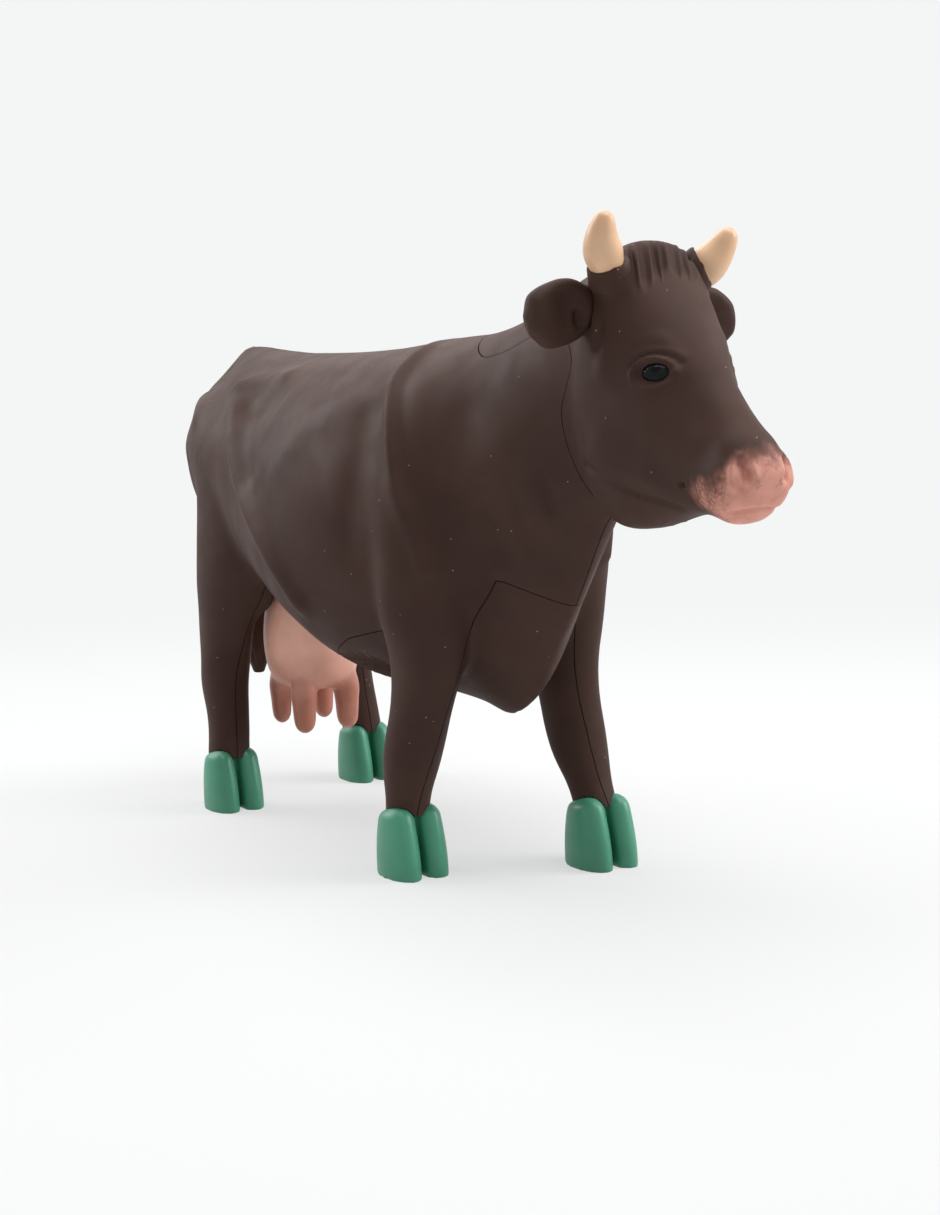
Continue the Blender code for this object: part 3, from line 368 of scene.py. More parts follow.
def copy_of(thing, name):
    twin = bpy.data.objects.new(name, thing.data.copy())
    bpy.context.collection.objects.link(twin)
    return twin


def gather(name, things):
    """One mesh from several, which may still pass through each other."""
    points, faces = [], []
    for thing in things:
        start = len(points)
        points.extend(vertex.co.copy() for vertex in thing.data.vertices)
        faces.extend(tuple(start + index for index in face.vertices) for face in thing.data.polygons)
        bpy.data.objects.remove(thing, do_unlink=True)
    return mesh_object(name, points, faces)


def melt(thing, voxel, area=SOFTEN_AREA):
    """Melt overlapping forms into one skin, as soft as the given area says at any voxel size."""
    remesh = thing.modifiers.new("melt", "REMESH")
    remesh.mode = "VOXEL"
    remesh.voxel_size = voxel
    soften = thing.modifiers.new("soften", "SMOOTH")
    soften.factor = 0.5
    soften.iterations = max(1, round(2 * area / voxel ** 2))
    bake(thing)
    print(thing.name, "melted,", len(thing.data.vertices), "points")
    return thing


# %% [markdown]
# Sculpting is done with strokes: a radius, a height and a route. Every point of the skin near the
# route moves along its own normal, most on the route and less beside it. A stroke that is drawn
# on the side view reaches both flanks, and one drawn in space reaches only what lies near it.

# %% Strokes
SIDE_VIEW = [0, 2]
IN_SPACE = [0, 1, 2]


def skin_values(thing, word):
    """The places or the normals of all points of a skin, one row each."""
    numbers = np.empty(len(thing.data.vertices) * 3)
    thing.data.vertices.foreach_get(word, numbers)
    return numbers.reshape(-1, 3)


def set_places(thing, places):
    thing.data.vertices.foreach_set("co", places.ravel())
    thing.data.update()


def shift_skin(thing, rule):
    """Move each point of a skin along its normal, by what the rule says for it."""
    places, normals = skin_values(thing, "co"), skin_values(thing, "normal")
    set_places(thing, places + normals * rule(places, normals)[:, None])


def distance_to_route(points, route):
    """How far each point lies from a line of straight stretches."""
    nearest = np.full(len(points), np.inf)
    for start, end in zip(route, route[1:]):
        run = end - start
        along = np.clip(((points - start) @ run) / (run @ run), 0, 1)
        nearest = np.minimum(nearest, np.linalg.norm(points - start - along[:, None] * run, axis=1))
    return nearest


def soft_step(values, low, high):
    share = np.clip((values - low) / (high - low), 0, 1)
    return share * share * (3 - 2 * share)


def sculpt(thing, strokes, axes=IN_SPACE, sides=(1,), fade=None):
    """Raise or sink strokes; sides repeats them mirrored, and fade is a rule that weakens them."""
    def push(places, normals):
        total = np.zeros(len(places))
        for radius, height, route in strokes:
            fall = np.zeros(len(places))
            for side in sides:
                line = [np.array((point.x, side * point.y, point.z))[axes] for point in route]
                fall = np.maximum(fall, np.exp(-(distance_to_route(places[:, axes], line) / radius) ** 2))
            total += fall * height
        return total * fade(places, normals) if fade else total

    shift_skin(thing, push)


# %% [markdown]
# The flanks of this cow are easy to read in the photograph: a hook bone with a hollow below it,
# a long ridge that runs down to the udder, a soft fold from the back to the shoulder blade,
# and two ribs of muscle on the shoulder. Each is one stroke in the table.

# %% Strokes of the flanks, on the side view
# radius and height in shares of the barrel's width, and the route in shares of the body
FLANK_STROKES = [
    (0.034, 0.024, [(0.262, 0.930), (0.300, 0.938), (0.340, 0.942), (0.390, 0.945)]),
    (0.050, 0.012, [(0.390, 0.945), (0.450, 0.955), (0.540, 0.972)]),
    (0.044, 0.028, [(0.272, 0.915), (0.312, 0.865), (0.355, 0.800), (0.397, 0.745), (0.437, 0.695),
                    (0.480, 0.645), (0.518, 0.595), (0.545, 0.550), (0.562, 0.510)]),
    (0.070, -0.022, [(0.335, 0.890), (0.370, 0.885), (0.420, 0.895)]),
    (0.060, -0.012, [(0.355, 0.865), (0.395, 0.800), (0.430, 0.750)]),
    (0.070, 0.010, [(0.530, 0.785), (0.561, 0.825), (0.613, 0.871), (0.660, 0.898), (0.691, 0.912)]),
    (0.060, -0.012, [(0.690, 0.860), (0.700, 0.760), (0.690, 0.620)]),
    (0.090, 0.022, [(0.760, 0.900), (0.772, 0.800), (0.778, 0.700), (0.765, 0.600), (0.740, 0.500)]),
    (0.028, 0.034, [(0.700, 0.990), (0.713, 0.930), (0.741, 0.857), (0.757, 0.805), (0.773, 0.732),
                    (0.794, 0.660), (0.808, 0.590)]),
    (0.080, -0.016, [(0.850, 0.860), (0.850, 0.740), (0.860, 0.640)]),
    (0.024, -0.012, [(0.911, 0.704), (0.907, 0.630)]),
    (0.024, -0.014, [(0.951, 0.760), (0.949, 0.703)]),
    (0.024, 0.010, [(0.865, 0.660), (0.863, 0.590)]),
    (0.060, -0.044, [(0.060, 0.985), (0.090, 0.965), (0.120, 0.955)]),
    (0.060, 0.026, [(0.110, 0.905), (0.150, 0.880)]),
    (0.060, -0.014, [(0.120, 0.760), (0.130, 0.700)]),
]


# %% The whole skin of the body
HORN_ROOT = (0.266, 0.36, 0.845)
HORN_SEAT = (0.300, 0.42, 0.905)
HORN_TIP = {-1: (0.384, 0.548, 1.084), 1: (0.380, 0.590, 1.034)}
HORN_BASE_RADIUS = 2.4 * MM
COLLAR_SHARE = 1.20
WEB_PLACE = (0.215, 10.0 * MM, 0.488)
WEB_RADII = Vector((7.5, 3.2, 5.2)) * MM


def skull_forms():
    forms = [loft("skull", head_rings(smooth_rows(HEAD_SHARES, 4)))]
    for side in SIDES.values():
        path = [head_point(HORN_ROOT, side), head_point(HORN_SEAT, side)]
        forms.append(tube("collar", path, [HORN_BASE_RADIUS * COLLAR_SHARE] * 2))
    return forms


def side_facing(places, normals):
    """One where the skin faces sideways, zero where it faces ahead or up."""
    return np.clip(np.abs(normals[:, 1]), 0, 1)


forms = [loft("trunk", trunk_rings(smooth_rows(TRUNK_SHARES, 4)))] + skull_forms()
forms += [leg_skin(name, *leg) for name, leg in LEGS.items()]
forms += [ball("groin_web", body_point(WEB_PLACE[0], side * WEB_PLACE[1], WEB_PLACE[2]), WEB_RADII)
          for side in SIDES.values()]
skin = melt(gather("skin", forms), BODY_VOXEL)
sculpt(skin, [(radius * BARREL_WIDTH, height * BARREL_WIDTH,
               [body_point(x, 0, z) for x, z in smooth_rows(route, 4)])
              for radius, height, route in FLANK_STROKES], SIDE_VIEW, fade=side_facing)

# %% [markdown]
# Under the belly the hair stands in a low comb of ribs, closer together than the points of the
# body's skin. So the faces there are split first, and a wave along the body then cuts the ribs.

# %% Hair along the belly
HAIR_SPACING = 0.80 * MM
HAIR_DEPTH = 0.26 * MM
HAIR_SLANT = 0.4
HAIR_START, HAIR_END = 0.450, 0.660
HAIR_LOW, HAIR_HIGH = 0.330, 0.415
HAIR_FADE = 0.03
HAIR_RAGGED = 0.006
HAIR_INNER = 7 * MM


def refine(thing, low, high):
    """Split each edge inside a box into three, so that finer marks can be made there."""
    work = bmesh.new()
    work.from_mesh(thing.data)
    inside = [edge for edge in work.edges
              if all(low[axis] < corner.co[axis] < high[axis] for corner in edge.verts for axis in range(3))]
    bmesh.ops.subdivide_edges(work, edges=inside, cuts=2, use_grid_fill=True)
    bmesh.ops.triangulate(work, faces=[face for face in work.faces if len(face.verts) > 4])
    work.to_mesh(thing.data)
    work.free()


def belly_hair(places, normals):
    """Grooves across the lower flanks, whose upper ends are a little ragged."""
    forward = (places[:, 0] - REAR_X) / BODY_LENGTH
    height = places[:, 2] / BACK_HEIGHT
    hair = soft_step(forward, HAIR_START, HAIR_START + HAIR_FADE)
    hair *= 1 - soft_step(forward, HAIR_END - HAIR_FADE, HAIR_END)
    hair *= 1 - soft_step(height, HAIR_HIGH - 0.025, HAIR_HIGH + HAIR_RAGGED * np.sin(forward * 400))
    hair *= soft_step(np.abs(places[:, 1]), HAIR_INNER, HAIR_INNER + 2 * MM)
    rib = np.abs(np.sin(math.pi * (places[:, 0] + HAIR_SLANT * places[:, 2]) / HAIR_SPACING))
    return -hair * rib * HAIR_DEPTH


refine(skin, body_point(HAIR_START, -BARREL_WIDTH / 2, HAIR_LOW),
       body_point(HAIR_END, BARREL_WIDTH / 2, HAIR_HIGH))
shift_skin(skin, belly_hair)
print("points of the skin with the belly's hair:", len(skin.data.vertices))

# %% [markdown]
# The head gets a skin of its own at a finer step, because eyelids, lips and the combed hair between
# the horns are only a few tenths of a millimetre high. It starts from the same stations,
# so it meets the body's skin at the seam.

# %% Strokes of the head, in its own box
# radius and height in millimetres, then places in shares of the head's box
HEAD_STROKES = [
    (2.6, -0.52, [(0.600, 0.300, 0.470), (0.660, 0.290, 0.380), (0.720, 0.290, 0.300)]),
    (2.6, -0.24, [(0.400, 0.420, 0.560), (0.330, 0.470, 0.640)]),
    (1.1, 0.20, [(0.440, 0.330, 0.640), (0.500, 0.290, 0.655), (0.570, 0.240, 0.620)]),
    (2.4, 0.36, [(0.240, 0.480, 0.300), (0.330, 0.470, 0.240), (0.440, 0.440, 0.205)]),
    (1.3, 0.30, [(0.190, 0.430, 0.265), (0.323, 0.395, 0.215), (0.459, 0.320, 0.175), (0.525, 0.260, 0.150)]),
    (0.6, -0.42, [(0.110, 0.397, 0.229), (0.190, 0.405, 0.199), (0.255, 0.384, 0.172), (0.323, 0.352, 0.149),
                  (0.383, 0.308, 0.129), (0.459, 0.255, 0.109), (0.525, 0.181, 0.089)]),
    (0.9, -0.50, [(0.270, 0.500, 0.700), (0.265, 0.500, 0.640)]),
    (1.6, 0.40, [(0.290, 0.480, 0.560), (0.291, 0.480, 0.560)]),
    (1.5, 0.30, [(0.700, 0.220, 0.330), (0.780, 0.200, 0.300)]),
]
# nostril with its raised rim, the line of the mouth, and the lips above and below it
NOSE_STROKES = [
    (0.48, 0.42, [(0.862, 0.262, 0.165), (0.852, 0.256, 0.215), (0.858, 0.230, 0.258),
                  (0.876, 0.188, 0.274)]),
    (0.40, 0.20, [(0.876, 0.188, 0.274), (0.896, 0.145, 0.250), (0.903, 0.125, 0.205)]),
    (0.70, -0.90, [(0.872, 0.195, 0.240), (0.890, 0.176, 0.190)]),
    (0.40, -0.70, [(0.600, 0.290, 0.168), (0.636, 0.325, 0.125), (0.690, 0.325, 0.092), (0.750, 0.300, 0.076),
                   (0.810, 0.240, 0.074), (0.845, 0.150, 0.078), (0.866, 0.000, 0.084)]),
    (0.85, 0.20, [(0.690, 0.330, 0.165), (0.760, 0.300, 0.135), (0.820, 0.200, 0.130)]),
    (0.80, 0.40, [(0.640, 0.225, 0.050), (0.700, 0.240, 0.035), (0.760, 0.210, 0.026), (0.808, 0.120, 0.028),
                  (0.822, 0.000, 0.040)]),
]


# %% Skin of the head
neck = loft("neck", trunk_rings(smooth_rows(TRUNK_SHARES[COLLAR_STATION + 1:], 4)))
head = melt(gather("head_shell_fine", skull_forms() + [neck]), HEAD_VOXEL)
for table in (HEAD_STROKES, NOSE_STROKES):
    sculpt(head, [(radius * MM, height * MM, [head_point(row) for row in smooth_rows(route, 4)])
                  for radius, height, route in table], sides=SIDES.values())

# %% [markdown]
# The eye is a painted bead behind lids. The lids are strokes round an almond shape: a fold above
# the eye, a softer one below, and a fine groove where the bead comes through. They are drawn on
# the side view, so they follow the skin's own depth. The place of each bead is measured first.

# %% Lids round the eye
EYE_PLACE = (0.497, 0.312, 0.541)
EYE_HALF_LENGTH = 2.00 * MM
EYE_HALF_HEIGHT = 1.34 * MM
EYE_HALF_DEPTH = 1.30 * MM
EYE_PROUD = {-1: 0.30 * MM, 1: 0.05 * MM}
LID_STRENGTH = {-1: 1.0, 1: 0.2}
LID_REACH = 4.0 * MM
# where the eye sits on the skin, and the way the skin faces there
EYE_SEATS = {side: head.closest_point_on_mesh(head_point(EYE_PLACE, side))[1:3] for side in SIDES.values()}


def lid_route(grow, first_degrees, last_degrees):
    """Points on an almond round the eye, some way outside it."""
    return [head_point(EYE_PLACE) + AHEAD * (EYE_HALF_LENGTH + grow) * math.cos(turn)
            + UP * (EYE_HALF_HEIGHT + grow) * math.sin(turn)
            for turn in np.radians(np.linspace(first_degrees, last_degrees, 17))]


def near_eye(places, normals):
    """How far the lids reach over the skin, less on the left, where they are softer."""
    away = np.linalg.norm((places - np.array(head_point(EYE_PLACE)))[:, SIDE_VIEW], axis=1)
    reach = np.exp(-(away / LID_REACH) ** 4) * soft_step(np.abs(normals[:, 1]), 0.2, 0.5)
    return reach * np.where(places[:, 1] < 0, LID_STRENGTH[-1], LID_STRENGTH[1])


half_socket = AHEAD * EYE_HALF_LENGTH * 0.50
sculpt(head, [
    (1.15 * MM, -0.62 * MM, [head_point(EYE_PLACE) - half_socket, head_point(EYE_PLACE) + half_socket]),
    (0.40 * MM, 0.48 * MM, lid_route(0.45 * MM, 5, 175)),
    (0.42 * MM, 0.24 * MM, lid_route(0.60 * MM, 185, 355)),
    (0.32 * MM, -0.24 * MM, lid_route(1.05 * MM, 25, 155)),
    (0.46 * MM, 0.20 * MM, lid_route(1.50 * MM, 42, 138)),
], SIDE_VIEW, fade=near_eye)

# %% [markdown]
# Between the horns the hair is combed forward over the brow: narrow ridges with wider furrows
# between them. One formula combs the whole fringe, because a row of single strokes would leave a
# dent at each end. A wave across the head makes the ridges, and a mask fades it out on the brow,
# a little earlier or later from lock to lock, so that the lower edge looks combed and not cut.

# %% Forelock
LOCK_SPACING = 1.50 * MM
LOCK_HEIGHT = 0.62 * MM
LOCK_LEAN = 0.50
LOCK_WANDER = 0.16
LOCK_RAGGED = 0.010
FURROW_SHARE = 0.35
FORELOCK_START, FORELOCK_END = 0.295, 0.398
FORELOCK_HALF_SHARE = 0.33


def forelock(places, normals):
    forward = (places[:, 0] - HEAD_X) / HEAD_LENGTH
    lane = (places[:, 1] + LOCK_LEAN * (forward - FORELOCK_START) * HEAD_LENGTH) / LOCK_SPACING
    lane += LOCK_WANDER * np.sin(2.3 * lane)
    ragged = FORELOCK_END + LOCK_RAGGED * np.sin(4.1 * lane + 0.7)
    fringe = soft_step(forward, FORELOCK_START - 0.02, FORELOCK_START + 0.04)
    fringe *= 1 - soft_step(forward, ragged - 0.024, ragged + 0.014)
    aside = np.abs(places[:, 1]) / HEAD_WIDTH
    fringe *= 1 - soft_step(aside, FORELOCK_HALF_SHARE - 0.05, FORELOCK_HALF_SHARE)
    fringe *= soft_step(normals[:, 0], 0.15, 0.45)
    ridge = ((1 + np.cos(2 * math.pi * lane)) / 2) ** 1.5 - FURROW_SHARE
    return fringe * ridge * LOCK_HEIGHT


brow_half = LEFT * FORELOCK_HALF_SHARE * HEAD_WIDTH
refine(head, head_point((FORELOCK_START - 0.03, 0, 0.70)) - brow_half,
       head_point((FORELOCK_END + 0.04, 0, 1.20)) + brow_half)
shift_skin(head, forelock)
print("locks across the brow:", round(2 * brow_half.y / LOCK_SPACING))

# %% [markdown]
# A figure like this is glued from shells, and the thin lines between them are what makes it look
# moulded and not carved. Each line is the border of a simple zone: what lies ahead of the head's
# seam, a tongue on the neck, and a core that runs between the legs.

# %% Zones that part the shells
HEAD_SEAM = [
    (0.150, 1.200), (0.110, 1.000), (0.060, 0.850), (0.033, 0.700), (0.076, 0.600),
    (0.045, 0.510), (0.005, 0.430), (-0.008, 0.330), (0.005, 0.180), (0.040, 0.030), (0.050, -0.250),
]
# place along the body, half widths at the ground, the knee and the top, heights of knee and top
UNDERSIDE_FRONT = [
    (1.064, 1.17, 0.84, 0.76, 0.314, 0.415),
    (0.867, 1.17, 0.84, 0.625, 0.314, 0.566),
    (0.730, 1.17, 0.84, 0.60, 0.314, 0.600),
    (0.640, 1.17, 0.84, 0.66, 0.314, 0.560),
]
UNDERSIDE_HIND = [
    (0.400, 0.95, 0.72, 0.62, 0.314, 0.530),
    (0.310, 1.10, 0.89, 0.64, 0.314, 0.545),
    (-0.080, 1.10, 0.89, 0.64, 0.314, 0.545),
]
BELLY_PAN = [(0.683, 0.220), (0.683, 0.462), (0.620, 0.440), (0.550, 0.396), (0.430, 0.320)]
CREST_HALF_WIDTH = 7.8 * MM
CREST_FRONT_HALF = 6.0 * MM
CREST_DEPTH = 1.6 * MM
CREST_REAR, CREST_FRONT, CREST_LOW = 0.790, 1.060, 0.620
NECK_REACH = 4.5 * MM


def neck_core(name, inset, reach):
    """The neck's inside form, carried forward into the head."""
    rings = trunk_rings(TRUNK_SHARES[COLLAR_STATION:HOLLOW_STATIONS[1] + 1], inset)
    return loft(name, rings + [[point + AHEAD * reach for point in rings[-1]]])


def head_zone(grow):
    seam = [head_point((x, 0, z)) - AHEAD * grow for x, z in smooth_rows(HEAD_SEAM, 3)]
    ahead = HEAD_X + HEAD_LENGTH + MARGIN
    return side_prism("head_zone", seam + [Vector((ahead, 0, seam[end].z)) for end in (-1, 0)])


def underside_zone(grow):
    rings = []
    for rows, track in ((UNDERSIDE_FRONT, FRONT_TRACK), (UNDERSIDE_HIND, HIND_TRACK)):
        for share_x, ground, knee, top, knee_z, top_z in rows:
            levels = [(ground, -MARGIN / 2), (knee, knee_z * BACK_HEIGHT), (top, top_z * BACK_HEIGHT + grow)]
            left = [body_point(share_x, half * track / 2 + grow, 0) + UP * z for half, z in levels]
            rings.append(left + [Vector((x, -y, z)) for x, y, z in reversed(left)])
    rim = [body_point(x, 0, z) for x, z in BELLY_PAN]
    outline = [rim[0] + AHEAD * grow, rim[1] + (AHEAD + UP) * grow]
    outline += [point + UP * grow for point in rim[2:]] + [Vector((rim[-1].x, 0, rim[0].z))]
    return join(loft("underside_zone", rings), side_prism("pan", outline))


def crest_zone(grow):
    half, front_half = CREST_HALF_WIDTH + grow, CREST_FRONT_HALF + grow
    centre = body_point(CREST_REAR, 0, 0) + AHEAD * CREST_HALF_WIDTH
    front = body_point(CREST_FRONT, 0, 0)
    rear = [centre - AHEAD * half * math.sin(angle) - LEFT * half * math.cos(angle)
            for angle in (math.pi * index / SECTION_POINTS for index in range(SECTION_POINTS + 1))]
    tongue = prism("tongue", [front - LEFT * front_half] + rear + [front + LEFT * front_half],
                   UP * (HEAD_Z + CREST_LOW * HEAD_HEIGHT - grow), UP * (HEAD_Z + HEAD_HEIGHT + MARGIN))
    return combine(tongue, neck_core("neck", CREST_DEPTH + grow, NECK_REACH), "DIFFERENCE")


# %% [markdown]
# Horns, ears, hooves, udder and tail plug into the shells. Each is made by one function with a
# grow value: at zero it makes the piece, and with a small gap it makes the seat that is cut for it.
# The two can then never disagree.

# %% Horns
# share of the way to the tip, and thickness there
HORN_TAPER = [(0.00, 0.80), (0.10, 0.90), (0.22, 1.01), (0.34, 1.05), (0.46, 0.99), (0.58, 0.88),
              (0.70, 0.76), (0.81, 0.64), (0.90, 0.50), (0.96, 0.34), (1.00, 0.10)]
HORN_BEND = 0.13
# reach along the horn, thickness and raggedness of the sleeve
SLEEVE = [(-2.5 * MM, 0.30 * MM, 0.0), (-0.2 * MM, 0.44 * MM, 0.0), (0.6 * MM, 0.28 * MM, 0.05 * MM),
          (0.9 * MM, 0.12 * MM, 0.10 * MM)]
SEAT_DEPTH = {-1: 0.6 * MM, 1: 2.6 * MM}
# the left collar is lower on its outer side, and hair hangs over the horn on its inner side
COLLAR_DROP = {-1: 0.0, 1: 0.7 * MM}
COLLAR_TILT = {-1: 0.0, 1: 0.44}
INWARD = Vector((-0.28, -0.73, 0.62))


def seat_and_run(side):
    """Where a horn leaves the skull, and the way from there to its tip."""
    seat = head_point(HORN_SEAT, side)
    return seat, head_point(HORN_TIP[side], side) - seat


def horn(name, side, grow=0.0):
    seat, run = seat_and_run(side)
    along = run.normalized()
    foot = seat - along * SEAT_DEPTH[side]
    path, radii = [], []
    for share, thickness in smooth_rows(HORN_TAPER, 4):
        bend = side * HORN_BEND * run.length * math.sin(math.pi * share)
        path.append(foot + (seat + run - foot) * share + LEFT * bend)
        radii.append(thickness * HORN_BASE_RADIUS + grow)
    path[0] = path[0] - along * grow
    return tube(name, path, radii)


def collar_ring(side, reach, radius, ragged=0.0):
    """A ring round a horn, square to it on the right and leaning on the left."""
    seat, run = seat_and_run(side)
    along = run.normalized()
    across = along.cross(UP).normalized()
    ring = ring_round(Vector(), across * radius, along.cross(across) * radius, SECTION_POINTS)
    for index, turn in enumerate(turns(SECTION_POINTS)):
        wander = ragged * (math.sin(5 * turn + side) + 0.6 * math.sin(11 * turn))
        lean = COLLAR_TILT[side] * ring[index].dot(INWARD) - COLLAR_DROP[side]
        ring[index] = seat + ring[index] + along * (reach + wander + lean)
    return ring


def horn_sleeve(side):
    """The ragged brown edge that the head's plastic makes round the foot of a horn."""
    return loft("sleeve", [collar_ring(side, reach, HORN_BASE_RADIUS + thickness, ragged)
                           for reach, thickness, ragged in SLEEVE])


def collar_trim(side):
    """What is taken off the collar above the sleeve's own foot."""
    return loft("trim", [collar_ring(side, reach, 2 * HORN_BASE_RADIUS)
                         for reach in (0.0, 4 * HORN_BASE_RADIUS)])


# %% Ears
EAR_ROOT = {-1: (0.205, 0.42, 0.802), 1: (0.205, 0.42, 0.765)}
EAR_TIP = {-1: (0.150, 0.95, 0.716), 1: (0.150, 0.91, 0.696)}
EAR_HEIGHT = 8.5 * MM
EAR_THICKNESS = 4.6 * MM
EAR_OUTLINE = (0.46, 0.68, 0.87, 0.98, 1.00, 0.99, 0.94, 0.80, 0.34)
# share of the way to the tip, and height in shares of the ear's own
EAR_RIM = [(0.30, 0.43), (0.62, 0.43), (0.86, 0.28), (0.96, -0.05)]


def root_and_tip(side):
    return head_point(EAR_ROOT[side], side), head_point(EAR_TIP[side], side)


def ear(name, side, grow=0.0):
    root, tip = root_and_tip(side)
    rows = smooth_rows([(share,) for share in EAR_OUTLINE], 4)
    path = [root + (tip - root) * (index / (len(rows) - 1)) for index in range(len(rows))]
    return tube(name, path, [share * EAR_HEIGHT / 2 + grow for (share,) in rows], EAR_THICKNESS / EAR_HEIGHT)


def ear_sculpted(name, side):
    """The ear with a bowl in its front, a fold where it meets the head and a raised rim."""
    root, tip = root_and_tip(side)

    def on_front(share, depth, height):
        return root.lerp(tip, share) + AHEAD * depth * EAR_THICKNESS / 2 + UP * height

    thing = melt(ear(name, side), SMALL_VOXEL, 0.35 * MM * MM)
    bowl, fold = on_front(0.46, 1.0, -0.5 * MM), on_front(0.26, 0.8, -1.7 * MM)
    rim = [on_front(share, 0.6, height * EAR_HEIGHT) for share, height in EAR_RIM]
    sculpt(thing, [(2.7 * MM, -1.50 * MM, [bowl, bowl + UP * MM]),
                   (0.8 * MM, -0.95 * MM, [fold + UP * 0.5 * MM, fold - UP * 0.9 * MM]),
                   (1.0 * MM, 0.45 * MM, rim)])
    return thing


# %% Hooves
HOOF_LENGTH = 10.4 * MM
HOOF_WIDTH = 9.2 * MM
CLEFT_WIDTH = 1.0 * MM
CLEFT_REACH = 0.30
DOME = 1.6 * MM
# height, length, width and how far the claw leans forward, below the coronet and above it
CLAW = [(0.00, 1.00, 1.00, 0.110), (0.30, 0.98, 1.00, 0.100), (0.60, 0.90, 0.97, 0.085),
        (0.85, 0.80, 0.90, 0.075)]
CLAW_DOME = [(0.00, 0.70, 0.84, 0.080), (0.45, 0.56, 0.68, 0.110), (0.80, 0.36, 0.44, 0.140),
             (1.00, 0.12, 0.16, 0.160)]


def foot_place(leg_name):
    """Where a leg meets the ground, under its coronet."""
    rows, track, _, side, step, _ = LEGS[leg_name]
    _, share_x, spread, _, _ = rows[1]
    return body_point(share_x, side * spread * track / 2, 0) + AHEAD * step


def claw(place, side, grow):
    rows = [(share * CORONET_HEIGHT, *rest) for share, *rest in CLAW]
    rows += [(CORONET_HEIGHT + share * DOME, *rest) for share, *rest in CLAW_DOME]
    rings = []
    for height, long_share, wide_share, lean in smooth_rows(rows, 3):
        centre = place + Vector((lean * HOOF_LENGTH, side * HOOF_WIDTH / 4, height))
        rings.append(ring_round(centre, AHEAD * (long_share * HOOF_LENGTH / 2 + grow),
                                LEFT * (wide_share * (HOOF_WIDTH / 4 + 2 * SEAM) + grow)))
    rings[-1] = [point + UP * grow for point in rings[-1]]
    return loft("claw", rings)


def both_claws(name, place, grow=0.0):
    pair = join(claw(place, 1, grow), claw(place, -1, grow))
    pair.name = name
    return pair


def hoof(name, leg_name):
    """A cloven hoof with a soft edge at the coronet and a slot between the claws."""
    place = foot_place(leg_name)
    thing = both_claws(name, place)
    low = place + Vector((HOOF_LENGTH / 2 * (1 - 2 * CLEFT_REACH), -CLEFT_WIDTH / 2, -MARGIN))
    high = place + Vector((HOOF_LENGTH, CLEFT_WIDTH / 2, CORONET_HEIGHT + 2 * DOME))
    melt(combine(thing, block("cleft", low, high), "DIFFERENCE"), SMALL_VOXEL, 0.12 * MM * MM)
    places = skin_values(thing, "co")
    places[:, 2] = np.maximum(places[:, 2], 0)
    set_places(thing, places)
    return thing


def hoof_seat(leg_name):
    place = foot_place(leg_name)
    reach = (AHEAD + LEFT) * HOOF_LENGTH
    below = block("below", place - reach - UP * MARGIN, place + reach + UP * (CORONET_HEIGHT + SEAM))
    return join(both_claws("seat", place, SEAM), below)


# %% Udder
UDDER_LENGTH = 19.0 * MM
UDDER_WIDTH = 16.6 * MM
UDDER_DEPTH = 20.6 * MM
UDDER_TOP = body_point(0.237, 0, 0.515)
UDDER = [(0.00, 0.46, 0.46), (0.03, 0.70, 0.68), (0.10, 0.86, 0.84), (0.22, 0.96, 0.95), (0.45, 1.00, 1.00),
         (0.70, 0.97, 0.92), (0.86, 0.86, 0.80), (1.00, 0.80, 0.72)]
TEAT_RADIUS = 1.8 * MM
TEAT_LENGTH = 10.4 * MM
TEAT_TRACK = 8.4 * MM
TEAT_PITCH = 9.5 * MM
FRONT_TEAT_SHARE = 1.12
TEAT = [(0.00, 0.70), (0.15, 1.05), (0.32, 1.18), (0.45, 1.12), (0.60, 1.04), (0.74, 1.00), (0.87, 0.90),
        (0.95, 0.62), (1.00, 0.20)]


def udder_bag(name, grow=0.0):
    return loft(name, [ring_round(UDDER_TOP - UP * UDDER_DEPTH * (1 - height),
                                  AHEAD * (long_share * UDDER_LENGTH / 2 + grow),
                                  LEFT * (wide_share * UDDER_WIDTH / 2 + grow), SECTION_POINTS)
                       for height, long_share, wide_share in smooth_rows(UDDER, 3)])


def teat(forward, side):
    size = FRONT_TEAT_SHARE if forward > 0 else 1.0
    top = UDDER_TOP + Vector((forward * TEAT_PITCH, side * TEAT_TRACK, 0)) / 2
    top += UP * (TEAT_LENGTH / 3 - UDDER_DEPTH)
    rows = smooth_rows(TEAT, 4)
    path = [top - UP * share * TEAT_LENGTH * (1 + size) / 2 for share, _ in rows]
    return tube("teat", path, [thickness * size * TEAT_RADIUS for _, thickness in rows])


def udder():
    teats = [teat(forward, side) for forward in (-1, 1) for side in SIDES.values()]
    return melt(gather("udder_soft", [udder_bag("bag")] + teats), SMALL_VOXEL, 1.5 * MM * MM)


# %% Tail
# place along the body, sideways, height, and thickness from root to tuft
TAIL_SHARES = [
    (0.062, 0.000, 0.965, 0.90), (0.034, 0.000, 0.958, 0.92), (0.014, 0.000, 0.925, 0.86),
    (0.005, 0.000, 0.865, 0.74), (0.006, -0.002, 0.780, 0.66), (0.016, -0.008, 0.680, 0.62),
    (0.036, -0.016, 0.590, 0.95), (0.056, -0.024, 0.510, 1.12), (0.067, -0.030, 0.440, 1.12),
    (0.074, -0.033, 0.375, 1.24), (0.078, -0.035, 0.315, 1.10), (0.079, -0.036, 0.262, 0.46),
]
TUFT_STARTS = 0.62
TUFT_LOCKS = 7
TAIL_ROWS = smooth_rows(TAIL_SHARES, 4)
TAIL_PATH = [body_point(x, y * BARREL_WIDTH, z) for x, y, z, _ in TAIL_ROWS]


